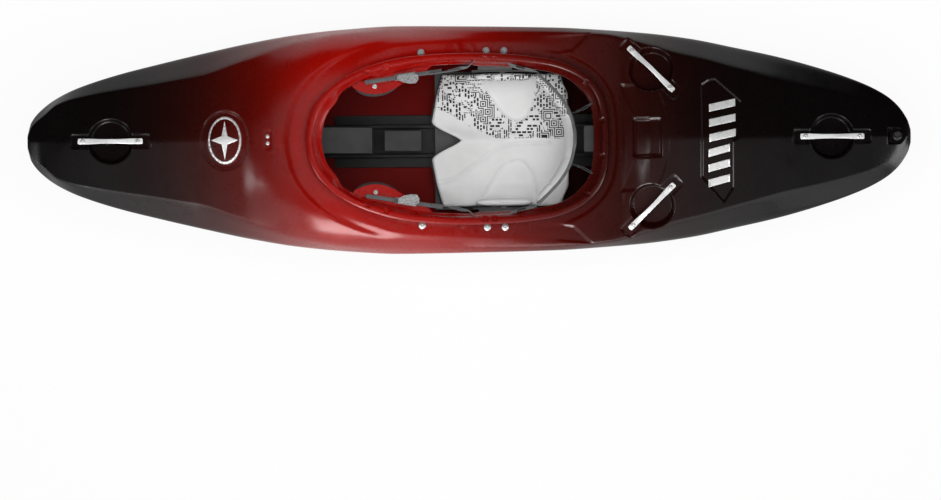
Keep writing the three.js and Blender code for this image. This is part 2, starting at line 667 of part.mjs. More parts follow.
function addShell() {
  addPiece("hull_shell", meshOf(hullShell()), "shell");
  // The coaming stands on the deck round the cockpit.
  const standing = coamingSolid().subtract(underCoaming).subtract(webbingSlots());
  addPiece("cockpit_coaming", meshOf(standing), "shell");
}

// Grab handles
function grabHandle() {
  const half = grab.length / 2;
  const seatZ = -grab.trayDepth + clear;
  const under = (x) => seatZ + grab.arch * smooth((half - Math.abs(x) - grab.foot) / (half - grab.foot));
  const lower = [];
  for (let i = 0; i <= grab.steps; i++) {
    const x = -half + (grab.length * i) / grab.steps;
    lower.push([x, under(x)]);
  }
  const outline = [...lower, ...lower.slice().reverse().map(([x, z]) => [x, z + grab.thickness])];
  const bar = prism(outline, -grab.width / 2, grab.width / 2).rotateX(Math.PI / 2);
  return [-1, 1].reduce((made, side) => {
    const hole = rod(grabScrew.shank + clear, -overrun, overrun, sides.hole);
    return made.subtract(solidOf(hole.translate((side * grab.screwSpan) / 2, 0, 0)));
  }, solidOf(bar));
}

function addGrabHandles() {
  Object.entries(grabPlaces).forEach(([where, spot]) => {
    const place = deckFrame(spot);
    addPiece(`grab_handle_${where}`, meshOf(grabHandle().transform(place.elements)), "alloy");
    const seatZ = -grab.trayDepth + grab.thickness + 2 * clear;
    [["front", -1], ["rear", 1]].forEach(([end, side]) => {
      const screw = screwShape(grabScrew, seatZ - grabScrew.length, seatZ)
        .translate((side * grab.screwSpan) / 2, 0, 0).applyMatrix4(place);
      addPiece(`grab_screw_${where}_${end}`, screw, "steel");
    });
  });
}

// Drain plug
function addDrainPlug() {
  const seatZ = drainSeatZ();
  const d = drain;
  const gasketLow = seatZ + clear;
  const gasket = solidOf(rod(d.gasketRadius, gasketLow, gasketLow + d.gasket, sides.turned))
    .subtract(solidOf(rod(d.shank + clear, seatZ - overrun, seatZ + overrun, sides.turned)));
  addPiece("drain_gasket", meshOf(gasket.translate([drainX, 0, 0])), "black");
  const low = gasketLow + d.gasket + clear;
  const high = low + d.headHeight;
  const plug = turned([[0, low - d.shankLength], [d.shank, low - d.shankLength], [d.shank, low],
    [d.head, low], [d.head, low + d.headHeight * 0.8], [d.head * 0.86, high], [0, high]], sides.turned);
  const cut = box(-d.head * 0.75, d.head * 0.75, -d.slotWidth / 2, d.slotWidth / 2,
    high - d.slotDepth, high + overrun);
  addPiece("drain_plug", meshOf(solidOf(plug).subtract(solidOf(cut)).translate([drainX, 0, 0])), "dark");
}

// Screws through the deck, with the nut under what they hold
function addDeckScrews() {
  const s = deckScrew;
  Object.entries(deckScrewSpots).forEach(([what, spot]) => {
    const seatZ = deckSeatZ(spot) + clear;
    const nutTop = what === "thigh" ? braceUnder(spot) : hipFlangeZ() - hipBracket.thick - clear;
    const low = nutTop - s.nutHeight;
    const high = seatZ + s.headHeight;
    const profile = [[0, low], [s.nut, low], [s.nut, nutTop], [s.shank, nutTop], [s.shank, seatZ],
      [s.head, seatZ], [s.head, seatZ + s.headHeight / 2], [s.head * 0.8, high], [0, high]];
    addPair(`deck_screw_${what}`, turned(profile, sides.seat).translate(spot.x, spot.y, 0), "steel");
  });
}

// Centre rail and foam pillars
function addRailAndPillars() {
  const r = rail;
  const base = solidOf(box(r.front, r.rear, -r.half, r.half, -overrun, r.base));
  const rib = solidOf(box(r.front, r.rear, r.ribIn, r.ribIn + r.ribWide, -overrun, r.ribTop));
  addPiece("centre_rail", meshOf(base.add(bothSides(rib)).intersect(innerSpace)), "black");
  const above = r.base + clear;
  const p = pillar;
  const side = (points, half) => solidOf(prism(points, -half, half).rotateX(Math.PI / 2));
  const railSpace = solidOf(box(r.front - clear, r.rear + clear, -r.half - clear, r.half + clear,
    -overrun, above));
  const onFloor = (solid) => solid.intersect(innerSpace).subtract(railSpace);
  const foremost = hullFront + p.bowIn;
  const front = side([[foremost, 0], [p.rear, 0], [p.rear, p.noseTop], [p.stepX, p.stepTop],
    [p.stepX - clear, topHeight], [foremost, topHeight]], p.half);
  addPiece("front_pillar", meshOf(onFloor(front)), "foam");
  const block = side([[p.blockFront, above], [p.blockRear, above], [p.blockRear, p.blockNose],
    [p.blockFront, p.blockTop]], p.blockHalf);
  addPiece("centre_block", meshOf(onFloor(block)), "foam");
  const rearmost = hullRear - p.sternIn;
  const tailFront = coamingRear - p.tailFrontIn;
  const tailStepX = coamingRear - p.tailStepIn;
  const rear = side([[tailFront, 0], [rearmost, 0], [rearmost, topHeight],
    [tailStepX, topHeight], [tailStepX - clear, p.tailTop], [tailFront, p.tailTop]], p.half);
  addPiece("rear_pillar", meshOf(onFloor(rear)), "foam");
}

// Footrest
function addFootrest() {
  const f = foot;
  const inHull = (geometry) => geometry.applyMatrix4(footFrame);
  const railFace = f.standoff + f.railThick;
  const bar = solidOf(box(f.railFront, f.railRear, -f.railHigh / 2, f.railHigh / 2, f.standoff, railFace));
  const sleeveLow = f.padDeep + hull.wall + clear;
  const sleeve = solidOf(rod(f.sleeve, sleeveLow, f.standoff + f.railThick / 2, sides.screw));
  const hole = solidOf(rod(f.screwShank + clear, 0, f.standoff + overrun, sides.hole));
  const railSolid = bar.add(sleeve).subtract(hole).transform(footFrame.elements).intersect(innerSpace);
  addPair("footrest_rail", meshOf(railSolid), "alloy");
  const headLow = f.recessDeep - clear;
  const screw = turned([[0, headLow - f.screwHeadHeight], [f.screwHead * 0.7, headLow - f.screwHeadHeight],
    [f.screwHead, headLow - f.screwHeadHeight / 2], [f.screwHead, headLow], [f.screwShank, headLow],
    [f.screwShank, railFace - f.screwBack], [0, railFace - f.screwBack]], sides.screw);
  addPair("footrest_screw", inHull(screw), "steel");
  const outer = railFace + clear;
  const span = footReach - outer - f.carriageThick;
  const outline = footPlateShares.map(([s, h]) => [h * f.plateHigh, outer + f.carriageThick / 2 + s * span]);
  const plate = solidOf(alongX(outline, f.plateX, f.plateX + f.plateThick));
  const carriage = solidOf(box(f.plateX - f.carriageLong / 2, f.plateX + f.carriageLong / 2,
    -f.railHigh / 2, f.railHigh / 2, outer, outer + f.carriageThick));
  addPair("foot_plate", meshOf(plate.add(carriage).transform(footFrame.elements)), "black");
  const padWide = span * 0.8;
  const cushion = pillow(padWide, f.plateHigh * 1.6, f.padThick, f.padCols, f.padRows, 0.05)
    .rotateY(Math.PI / 2)
    .translate(f.plateX + f.plateThick + f.padThick / 2 + clear, 0, outer + f.carriageThick + span * 0.55);
  addPair("foot_pad", inHull(cushion), "foam");
}

// Seat pan, brackets and cushions
const panLow = rail.ribTop + clear;
const panTop = panLow + seat.panThick;

function addSeatPan() {
  const s = seat;
  const floor = solidOf(box(s.front, s.rear, -s.half, s.half, panLow, panTop));
  const cheek = solidOf(box(s.cheekFront, s.cheekRear, s.half - s.cheekThick, s.half, panLow, s.cheekTop));
  const slotCut = solidOf(prism(slotOutline(s.slotLong, s.slotHigh), -overrun, overrun)
    .rotateX(Math.PI / 2).translate(s.screwX, s.half, s.screwZ));
  addPiece("seat_pan", meshOf(floor.add(bothSides(cheek.subtract(slotCut)))), "dark");
}

function seatEdges(y) {
  // Front and rear edge of the seat pad at a distance from the centre line.
  const p = pad;
  const side = Math.abs(y);
  const rearX = p.rear - (p.rear - p.rearCornerX) * smooth((side - p.rearTurnY) / (p.half - p.rearTurnY));
  if (side < p.notchHalf) {
    const opened = Math.sin((Math.PI / 2) * (side / p.notchHalf)) ** p.notchPower;
    return [p.notchX + (p.mouthX - p.notchX) * opened, rearX];
  }
  const outer = (side - p.notchHalf) / (p.half - p.notchHalf);
  const shoulder = (p.shoulderY - p.notchHalf) / (p.half - p.notchHalf);
  const frontX = outer < shoulder
    ? p.mouthX + (p.shoulderX - p.mouthX) * (outer / shoulder)
    : p.shoulderX + (p.cornerX - p.shoulderX) * ((outer - shoulder) / (1 - shoulder));
  return [frontX, rearX];
}

function seatHeight(s, t) {
  // Height of the pad over the pan: dished where the paddler sits, raised at the sides and the front,
  // with a low ridge between the legs.
  const p = pad;
  const rise = p.sideRise * smooth((Math.abs(s) - 0.62) / 0.38) * smooth(t / 0.3);
  const hollow = p.dish * Math.exp(-(((Math.abs(s) - 0.36) / 0.26) ** 2) - ((t - 0.62) / 0.3) ** 2);
  const lift = p.frontRise * smooth((0.34 - t) / 0.34) * (1 - smooth((Math.abs(s) - 0.7) / 0.3));
  const ridge = p.ridge * Math.exp(-((s / 0.12) ** 2)) * smooth((0.5 - t) / 0.4);
  const edge = smooth((0.06 - t) / 0.06) + smooth((t - 0.94) / 0.06) + smooth((Math.abs(s) - 0.94) / 0.06);
  return p.base + rise - hollow + lift + ridge - p.edgeDrop * Math.min(edge, 1);
}

function addSeatPad() {
  const p = pad;
  const low = panTop + clear;
  const rings = [];
  for (let j = 0; j <= p.cols; j++) {
    const s = -Math.cos((Math.PI * j) / p.cols);
    const spread = 0.5 * s + 0.5 * ((2 * j) / p.cols - 1);
    const y = spread * p.half;
    const [x0, x1] = seatEdges(y);
    const ring = [];
    for (let i = 0; i <= p.rows; i++) {
      const t = i / p.rows;
      ring.push([x0 + (x1 - x0) * t, y, low]);
    }
    for (let i = p.rows; i >= 0; i--) {
      const t = i / p.rows;
      ring.push([x0 + (x1 - x0) * t, y, low + seatHeight(spread, t)]);
    }
    rings.push(ring);
  }
  addPiece("seat_pad", flatCapped(rings), "white");
}

function flatCapped(rings) {
  // Rings in planes of equal y, joined side by side; the two end rings close onto their own lower edge.
  const count = rings[0].length;
  const half = count / 2;
  const positions = rings.flat(2);
  const faces = [];
  for (let i = 0; i + 1 < rings.length; i++) {
    for (let j = 0; j < count; j++) {
      const k = (j + 1) % count;
      const [a, b, c, d] = [i * count + j, i * count + k, (i + 1) * count + k, (i + 1) * count + j];
      faces.push(a, c, b, a, d, c);
    }
  }
  [0, rings.length - 1].forEach((end) => {
    for (let j = 0; j + 1 < half; j++) {
      const [a, b, c, d] = [j, j + 1, count - 2 - j, count - 1 - j].map((k) => end * count + k);
      if (end === 0) faces.push(a, b, c, a, c, d);
      else faces.push(a, c, b, a, d, c);
    }
  });
  return geometryOf(positions, faces);
}

function addHipPads() {
  const h = hipPad;
  const outer = seat.half - seat.cheekThick - clear - hipScrew.headHeight;
  const cushion = pillow(h.rear - h.front, h.high - h.low, h.thick, h.cols, h.rows, 0.06)
    .rotateX(Math.PI / 2)
    .translate((h.front + h.rear) / 2, outer - h.thick / 2, (h.low + h.high) / 2);
  addPair("hip_pad", cushion, "white");
}

function hipFlangeZ() {
  return deckZ(hipBracket.rear, hipBracket.flangeOut) - hull.wall - hipBracket.settle;
}

function addHipBrackets() {
  const h = hipBracket;
  const top = hipFlangeZ();
  const outline = [[h.wallY, h.low], [h.wallY + h.thick, h.low], [h.wallY + h.thick, h.bendZ],
    [h.flangeIn, top - h.thick], [h.flangeOut, top - h.thick], [h.flangeOut, top],
    [h.flangeIn - h.thick / 2, top], [h.wallY, h.bendZ + h.thick / 2]];
  let made = solidOf(alongX(outline, h.front, h.rear));
  ["hip_front", "hip_rear"].forEach((what) => {
    const spot = deckScrewSpots[what];
    const hole = rod(deckScrew.shank + clear, top - overrun, top + overrun, sides.hole);
    made = made.subtract(solidOf(hole.translate(spot.x, spot.y, 0)));
  });
  const bore = rod(hipScrew.shank + clear, -overrun, overrun, sides.hole)
    .rotateX(Math.PI / 2).translate(seat.screwX, h.wallY, seat.screwZ);
  made = made.subtract(solidOf(bore));
  addPair("hip_bracket", meshOf(made), "dark");
  const s = hipScrew;
  const headY = seat.half - seat.cheekThick - clear;
  const screw = screwShape(s, -(h.wallY + h.thick + s.tail), -headY)
    .rotateX(Math.PI / 2).translate(seat.screwX, 0, seat.screwZ);
  addPair("hip_screw", screw, "steel");
}

// Thigh braces, ratchets and ladder straps
function strapFrame() {
  const front = new THREE.Vector3(strapFront.x, strapFront.y, strapFront.z);
  const rear = new THREE.Vector3(strapRear.x, strapRear.y, strapRear.z);
  const along = rear.clone().sub(front);
  const origin = front.clone().lerp(rear, (ratchetX - front.x) / along.x);
  const level = new THREE.Vector3(-along.y, along.x, 0);
  return frameMatrix(origin, along, level);
}

const strapPlace = strapFrame();
const strapUnplace = strapPlace.clone().invert();

function braceUnder({ x, y }) {
  // World height just under the brace's wing at a deck screw.
  const local = new THREE.Vector3(x, y, deckZ(x, y)).applyMatrix4(strapUnplace);
  const vertical = new THREE.Vector3(0, 0, 1).transformDirection(strapUnplace);
  const under = -brace.drop - brace.wingDrop - brace.thick;
  local.addScaledVector(vertical, (under - local.z) / vertical.z);
  const tilt = deckScrew.nut * Math.tan(Math.acos(vertical.z));
  return local.applyMatrix4(strapPlace).z - tilt - clear;
}

function braceSolid() {
  const b = brace;
  const [y0, y1] = [b.inner - overrun, b.outer + overrun];
  const top = -b.drop;
  const outline = [[y0, top - b.thick], [b.bendY, top - b.thick], [b.wingY, top - b.wingDrop - b.thick],
    [y1, top - b.wingDrop - b.thick], [y1, top - b.wingDrop], [b.wingY + b.thick / 2, top - b.wingDrop],
    [b.bendY + b.thick / 2, top], [y0, top]];
  const sheet = solidOf(alongX(outline, b.front - overrun, b.rear + overrun));
  const corners = bracePlanShares.map(([u, v]) =>
    new THREE.Vector3(b.front + u * (b.rear - b.front), b.inner + v * (b.outer - b.inner), 0));
  const plan = new THREE.CatmullRomCurve3(corners, true).getPoints(b.planSteps)
    .slice(0, -1).map((p) => [p.x, p.y]);
  const deep = b.drop + b.wingDrop + b.thick + overrun;
  let made = sheet.intersect(solidOf(prism(plan, -deep, overrun)));
  const spot = deckScrewSpots.thigh;
  const at = new THREE.Vector3(spot.x, spot.y, deckZ(spot.x, spot.y)).applyMatrix4(strapUnplace);
  const vertical = new THREE.Vector3(0, 0, 1).transformDirection(strapUnplace);
  const shear = new THREE.Matrix4().set(1, 0, vertical.x / vertical.z, 0, 0, 1, vertical.y / vertical.z, 0,
    0, 0, 1, 0, 0, 0, 0, 1);
  const slot = prism(slotOutline(b.slotLong, b.slotWide), -deep, deep).applyMatrix4(shear);
  made = made.subtract(solidOf(slot.translate(at.x, at.y, at.z)));
  const t = thighScrew;
  const hole = (radius, x, y) => solidOf(rod(radius, -deep, overrun, sides.hole).translate(x, y, 0));
  made = made.subtract(hole(t.shank + clear, t.x, t.y));
  for (let i = 1; i <= t.holes; i++) {
    made = made.subtract(hole(t.holeRadius, t.x + i * t.holePitch, t.y + i * t.holeDrift));
  }
  return made;
}

function addThighBraces() {
  const place = (geometry) => geometry.applyMatrix4(strapPlace);
  addPair("thigh_brace", place(meshOf(braceSolid())), "shell");
  const top = -brace.drop;
  const t = thighScrew;
  const p = thighPad;
  const cushion = pillow(p.rear - p.front, p.outer - p.inner, p.thick, p.cols, p.rows, 0.08)
    .translate((p.front + p.rear) / 2, (p.inner + p.outer) / 2, top - brace.thick - clear - p.thick / 2);
  const bore = solidOf(rod(t.shank + clear, top - brace.thick - p.thick - overrun, overrun, sides.hole)
    .translate(t.x, t.y, 0));
  addPair("thigh_pad", place(meshOf(solidOf(cushion).subtract(bore))), "foam");
  const screw = screwShape(t, top - brace.thick - p.thick / 2, top + clear).translate(t.x, t.y, 0);
  addPair("thigh_screw", place(screw), "steel");
}

function addRatchets() {
  const r = ratchet;
  const place = (geometry) => geometry.applyMatrix4(strapPlace);
  const low = -brace.drop + clear;
  const wallTop = r.pivotZ + r.wallRound;
  const half = r.wallY + r.wallThick;
  const base = solidOf(box(r.front, r.rear, -half, half, low, low + r.plateThick));
  // Each side wall is round about the pivot at its front, so that the lever can swing over it.
  const nose = Array.from({ length: sides.slot + 1 }, (_, i) => {
    const a = Math.PI - (Math.PI * i) / (2 * sides.slot);
    return [r.pivotX + r.wallRound * Math.cos(a), r.pivotZ + r.wallRound * Math.sin(a)];
  });
  const outline = [[r.pivotX - r.wallRound, low], ...nose, [r.rear, wallTop], [r.rear, low]];
  const wall = solidOf(prism(outline, r.wallY, half).rotateX(Math.PI / 2));
  const pinHole = solidOf(rod(r.pivotRadius + clear, -overrun, overrun, sides.hole)
    .rotateX(Math.PI / 2).translate(r.pivotX, 0, r.pivotZ));
  addPair("ratchet_base", place(meshOf(base.add(bothSides(wall)).subtract(pinHole))), "alloy");
  const pin = solidOf(rod(r.pivotRadius, -r.pivotReach, r.pivotReach, sides.hole)
    .rotateX(Math.PI / 2).translate(r.pivotX, 0, r.pivotZ));
  const paddleLow = wallTop + r.paddleLift;
  const hub = solidOf(box(r.pivotX - r.hubLong, r.pivotX + r.hubLong, -r.hubHalf, r.hubHalf,
    r.pivotZ - r.hubDrop, paddleLow + r.paddleThick / 2));
  const plan = paddlePlanShares.map(([u, v]) =>
    [r.paddleFront + u * (r.paddleRear - r.paddleFront), r.paddleIn + v * (r.paddleOut - r.paddleIn)]);
  const paddle = solidOf(prism(plan, paddleLow, paddleLow + r.paddleThick));
  addPair("ratchet_lever", place(meshOf(pin.add(hub).add(paddle))), "steel");
}

function addLadders() {
  const l = ladder;
  const place = (geometry) => geometry.applyMatrix4(strapPlace);
  const frontPoint = new THREE.Vector3(strapFront.x, strapFront.y, strapFront.z);
  const length = frontPoint.distanceTo(new THREE.Vector3(strapRear.x, strapRear.y, strapRear.z));
  const front = frontPoint.applyMatrix4(strapUnplace).x;
  const low = -brace.drop + clear + ratchet.plateThick + clear;
  const teeth = [];
  const steps = Math.floor((length - l.pitch) / l.pitch);
  for (let i = 0; i < steps; i++) {
    const x = front + l.pitch * (i + 0.5);
    const high = low + l.thick;
    teeth.push([x, high], [x + l.pitch * 0.5, high + l.tooth], [x + l.pitch * 0.7, high]);
  }
  const outline = [[front, low], [front + length, low], [front + length, low + l.thick], ...teeth.reverse(),
    [front, low + l.thick]];
  const strip = solidOf(prism(outline, -l.width / 2, l.width / 2).rotateX(Math.PI / 2));
  const armY = -l.width / 2 - l.armInset;
  const arm = solidOf(box(l.armStart, l.armStart + l.armLong, armY, armY + l.armThick,
    low - l.armHigh / 2, low + l.armHigh / 2 + l.thick));
  addPair("ladder_strap", place(meshOf(strip.add(arm))), "grey");
}

// Backband, webbing and bungees
function bandLine(s) {
  // Point on the band's back edge, seen from above, and the inward normal there.
  const at = (v) => new THREE.Vector2(
    coamingRear - band.backIn - (band.endIn - band.backIn) * Math.abs(v) ** band.power, band.endY * v);
  const stepShare = 0.01;
  const t = at(Math.min(1, s + stepShare)).sub(at(Math.max(-1, s - stepShare))).normalize();
  return { point: at(s), inward: new THREE.Vector2(-t.y, t.x) };
}

function bandForm(near, far, soft) {
  // A curved upright sheet between two depths from the back edge. A soft one is full in the middle and
  // thin at its rims; the stiff one carries the tab in the middle of its upper edge.
  const b = band;
  const round = (v) => Math.sqrt(Math.max(0, 1 - v ** 4));
  const rings = [];
  for (let i = 0; i <= b.cols; i++) {
    const s = (2 * i) / b.cols - 1;
    const side = Math.abs(s);
    const { point, inward } = bandLine(s);
    const tab = soft ? 0 : (b.tab - b.top) * smooth(1.4 - (side * b.endY) / b.tabHalf);
    const high = b.top + (b.endTop - b.top) * side ** 2 + tab;
    const low = b.top * shareAt(bandLowShares, side);
    const place = (v, depth) => {
      const rise = (high - low) * v;
      const x = point.x + inward.x * depth + b.leanShare * rise;
      return [x, point.y + inward.y * depth, low + rise];
    };
    const full = (v) => (soft ? 0.35 + 0.65 * round(2 * v - 1) * Math.max(round(side), 0.3) : 1);
    const shares = Array.from({ length: b.rows + 1 }, (_, j) => j / b.rows);
    rings.push([...shares.map((v) => place(v, near)),
      ...shares.reverse().map((v) => place(v, near + (far - near) * full(v)))]);
  }
  return flatCapped(rings);
}

function addBackband() {
  addPiece("backband_shell", bandForm(0, band.shellThick, false), "grey");
  addPiece("backband_pad", bandForm(band.shellThick + clear, band.shellThick + band.padThick, true), "white");
}

function routeCurve(route) {
  // The routes are drawn for one size of coaming, and stretch with it.
  const stretch = coaming.length / routeDrawnFor;
  const lift = topHeight / routeDrawnUnder;
  const points = route.map(([x, y, z]) =>
    new THREE.Vector3(coaming.centreX + (x - coaming.centreX) * stretch, y, z * lift));
  return new THREE.CatmullRomCurve3(points, false, "centripetal");
}

function flatStrap(route, wide, thick, steps) {
  // An upright flat strap along a route: its wide side stays vertical.
  const curve = routeCurve(route);
  const rings = [];
  for (let i = 0; i <= steps; i++) {
    const p = curve.getPointAt(i / steps);
    const t = curve.getTangentAt(i / steps);
    const side = new THREE.Vector3(-t.y, t.x, 0).normalize().multiplyScalar(thick / 2);
    const up = wide / 2;
    rings.push([[p.x - side.x, p.y - side.y, p.z - up], [p.x + side.x, p.y + side.y, p.z - up],
      [p.x + side.x, p.y + side.y, p.z + up], [p.x - side.x, p.y - side.y, p.z + up]]);
  }
  return skin(rings, false);
}

function cord(route, radius, steps) {
  const shape = new THREE.Shape(Array.from({ length: sides.boss }, (_, i) => {
    const a = (2 * Math.PI * i) / sides.boss;
    return new THREE.Vector2(radius * Math.cos(a), radius * Math.sin(a));
  }));
  return new THREE.ExtrudeGeometry(shape, { steps, bevelEnabled: false, extrudePath: routeCurve(route) });
}

function addStraps() {
  addPair("webbing", flatStrap(webbingRoute, webbing.width, webbing.thick, webbing.steps), "grey");
  addPair("bungee", cord(bungeeRoute, bungee.radius, bungee.steps), "dark");
}

addShell();
addGrabHandles();
addDrainPlug();
addDeckScrews();
addRailAndPillars();
addFootrest();
addSeatPan();
addSeatPad();
addHipPads();
addHipBrackets();
addThighBraces();
addRatchets();
addLadders();
addBackband();
addStraps();

export default kayak;
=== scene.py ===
"""Whitewater kayak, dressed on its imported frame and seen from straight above.

Everything is in metres: +X towards the stern, +Y to starboard, +Z up.
"""

import math

import bmesh
import bpy
import numpy as np
from mathutils import Matrix, Vector


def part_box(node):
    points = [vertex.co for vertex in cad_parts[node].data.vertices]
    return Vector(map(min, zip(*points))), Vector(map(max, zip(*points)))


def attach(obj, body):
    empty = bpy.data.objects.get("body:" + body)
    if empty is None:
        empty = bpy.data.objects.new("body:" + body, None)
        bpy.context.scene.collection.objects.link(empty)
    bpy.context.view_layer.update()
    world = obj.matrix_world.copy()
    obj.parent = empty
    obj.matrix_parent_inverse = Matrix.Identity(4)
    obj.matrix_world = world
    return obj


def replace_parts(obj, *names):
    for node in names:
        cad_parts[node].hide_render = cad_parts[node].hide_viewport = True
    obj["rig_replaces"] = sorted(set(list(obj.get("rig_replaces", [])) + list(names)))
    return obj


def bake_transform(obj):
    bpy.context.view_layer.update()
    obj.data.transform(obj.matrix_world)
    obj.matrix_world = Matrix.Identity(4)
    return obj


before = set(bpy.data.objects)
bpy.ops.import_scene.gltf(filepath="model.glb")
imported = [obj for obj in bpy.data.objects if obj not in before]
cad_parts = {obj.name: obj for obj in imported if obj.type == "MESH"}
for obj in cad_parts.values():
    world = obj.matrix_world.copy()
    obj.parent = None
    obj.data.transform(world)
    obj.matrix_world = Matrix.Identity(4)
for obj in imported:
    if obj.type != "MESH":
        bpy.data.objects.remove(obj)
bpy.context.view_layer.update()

# Driving sizes of the hull
shell_low, shell_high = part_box("hull_shell")
LENGTH = shell_high.x - shell_low.x
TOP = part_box("cockpit_coaming")[1].z
BEAM = 0.641
DEPTH = 0.380
WALL = 0.005
CLEAR = 0.0003
SIDES = (("starboard", 1), ("port", -1))

# Shape of the hull along its length: [share of length, share of depth or of half the beam]
BREADTH_SHARES = [
    [0, 0.06], [0.004, 0.169], [0.017, 0.293], [0.033, 0.384], [0.056, 0.472], [0.1, 0.587],
    [0.15, 0.687], [0.2, 0.779], [0.25, 0.863], [0.3, 0.928], [0.35, 0.969], [0.42, 1], [0.5, 0.994],
    [0.6, 0.978], [0.65, 0.955], [0.7, 0.926], [0.75, 0.876], [0.8, 0.797], [0.85, 0.711],
    [0.9, 0.601], [0.94, 0.491], [0.966, 0.393], [0.983, 0.293], [0.9966, 0.144], [1, 0.06],
]
KEEL_SHARES = [
    [0, 0.803], [0.004, 0.739], [0.017, 0.668], [0.033, 0.611], [0.056, 0.537], [0.1, 0.408],
    [0.15, 0.287], [0.2, 0.189], [0.25, 0.113], [0.3, 0.055], [0.35, 0.023], [0.4, 0.007],
    [0.45, 0], [0.65, 0], [0.7, 0.016], [0.75, 0.045], [0.8, 0.095], [0.85, 0.159], [0.9, 0.247],
    [0.94, 0.338], [0.966, 0.405], [0.983, 0.457], [0.9966, 0.523], [1, 0.563],
]
KNUCKLE_SHARES = [
    [0, 0.81], [0.02, 0.74], [0.05, 0.69], [0.081, 0.647], [0.197, 0.474], [0.306, 0.32],
    [0.4, 0.295], [0.6, 0.295], [0.67, 0.3], [0.74, 0.342], [0.81, 0.379], [0.857, 0.408],
    [0.902, 0.432], [0.95, 0.48], [1, 0.569],
]
GUNWALE_SHARES = [
    [0, 0.817], [0.02, 0.765], [0.05, 0.732], [0.1, 0.665], [0.173, 0.603], [0.264, 0.561],
    [0.5, 0.534], [0.768, 0.5], [0.81, 0.488], [0.9215, 0.513], [1, 0.576],
]
CREASE_SHARES = [
    [0, 0.83], [0.022, 0.858], [0.092, 0.805], [0.173, 0.8], [0.243, 0.783], [0.289, 0.747],
    [0.35, 0.718], [0.42, 0.658], [0.5, 0.62], [0.58, 0.6], [0.65, 0.618], [0.7, 0.653],
    [0.737, 0.671], [0.811, 0.663], [0.857, 0.65], [0.903, 0.626], [0.9375, 0.61], [1, 0.585],
]
DECK_SHARES = [
    [0, 0.832], [0.0034, 0.847], [0.015, 0.876], [0.033, 0.884], [0.056, 0.891], [0.124, 0.891],
    [0.147, 0.905], [0.17, 0.921], [0.192, 0.934], [0.238, 0.95], [0.258, 0.979], [0.283, 1],
    [0.306, 1], [0.329, 0.985], [0.3515, 0.982], [0.374, 0.97], [0.397, 0.95], [0.42, 0.93],
    [0.4425, 0.89], [0.465, 0.845], [0.488, 0.795], [0.511, 0.75], [0.5336, 0.715], [0.556, 0.69],
    [0.579, 0.668], [0.602, 0.65], [0.6246, 0.637], [0.647, 0.635], [0.6687, 0.65],
    [0.6758, 0.685], [0.689, 0.735], [0.7, 0.79], [0.7053, 0.81], [0.725, 0.83], [0.738, 0.83],
    [0.761, 0.817], [0.8066, 0.774], [0.829, 0.751], [0.852, 0.737], [0.875, 0.707],
    [0.8976, 0.692], [0.92, 0.678], [0.943, 0.663], [0.966, 0.655], [0.983, 0.647],
    [0.993, 0.626], [1, 0.592],
]
CREASE_OUT_SHARES = [
    [0, 0.72], [0.017, 0.74], [0.033, 0.83], [0.077, 0.77], [0.145, 0.73], [0.19, 0.73],
    [0.235, 0.8], [0.28, 0.88], [0.306, 0.915], [0.36, 0.95], [0.65, 0.95], [0.7, 0.88],
    [0.737, 0.82], [0.771, 0.79], [0.811, 0.745], [0.8635, 0.69], [0.915, 0.68], [0.96, 0.66],
    [1, 0.62],
]
CROWN_SHARES = [
    [0, 1.1], [0.2, 1.15], [0.24, 1.5], [0.27, 2.5], [0.3, 4], [0.33, 6], [0.465, 6], [0.511, 4],
    [0.58, 3], [0.65, 2], [0.7, 1.4], [0.75, 1.15], [1, 1.1],
]
CHINE_OUT_SHARES = [[0, 0.5], [0.1, 0.6], [0.25, 0.75], [0.4, 0.84], [0.65, 0.84], [0.8, 0.75], [1, 0.5]]
FLAT_OUT_SHARES = [[0, 0.15], [0.1, 0.25], [0.25, 0.42], [0.4, 0.55], [0.65, 0.55], [0.8, 0.42], [1, 0.15]]
KNUCKLE_OUT_SHARE = 0.95
CHINE_RISE_SHARE = 0.36

# Coaming: outline as [share of half length, share of half width] and its height along the length
COAMING = {
    "length": 0.840, "width": 0.476, "centre_x": -0.034, "lip_out": 0.035, "foot_out": 0.009,
    "crest_out": 0.024,
}
COAMING_SHARES = [
    [-1, 0], [-0.953, 0.36], [-0.855, 0.575], [-0.72, 0.742], [-0.56, 0.86], [-0.379, 0.942], [-0.105, 0.993],
    [0.183, 1], [0.474, 0.968], [0.69, 0.895], [0.86, 0.738], [0.965, 0.49], [1, 0],
]
COAMING_TOP_SHARES = [
    [-1, 0.973], [-0.92, 0.993], [-0.79, 1], [-0.655, 0.979], [-0.52, 0.944], [-0.388, 0.91],
    [-0.255, 0.8685], [-0.121, 0.834], [0.012, 0.794], [0.145, 0.757], [0.279, 0.73],
    [0.412, 0.702], [0.545, 0.68], [0.676, 0.665], [0.81, 0.66], [1, 0.65],
]

# Fittings
GRAB = {
    "length": 0.180, "end_width": 0.016, "waist": 0.0125, "thickness": 0.0055, "arch": 0.010, "foot": 0.024,
    "well_radius": 0.064, "well_depth": 0.032, "well_round": 0.011, "tray_length": 0.222,
    "tray_width": 0.042, "tray_depth": 0.006, "tray_round": 0.004, "screw_span": 0.152, "probe": 0.024,
}
GRAB_PLACES = {
    "bow": (-0.999, 0, 0),
    "stern": (1.009, 0, 0),
    "starboard": (0.504, 0.192, -math.pi / 4),
    "port": (0.504, -0.192, math.pi / 4),
}
DRAIN = {"x": 1.191, "seat_drop": 0.011, "front": 0.026, "half": 0.024, "round": 0.004}
DECK_SCREWS = {"thigh": (-0.136, 0.240), "hip_front": (0.045, 0.246), "hip_rear": (0.095, 0.246)}
FOOT = {"x": -0.592, "z": 0.179, "recess_long": 0.077, "recess_high": 0.036, "recess_deep": 0.005}
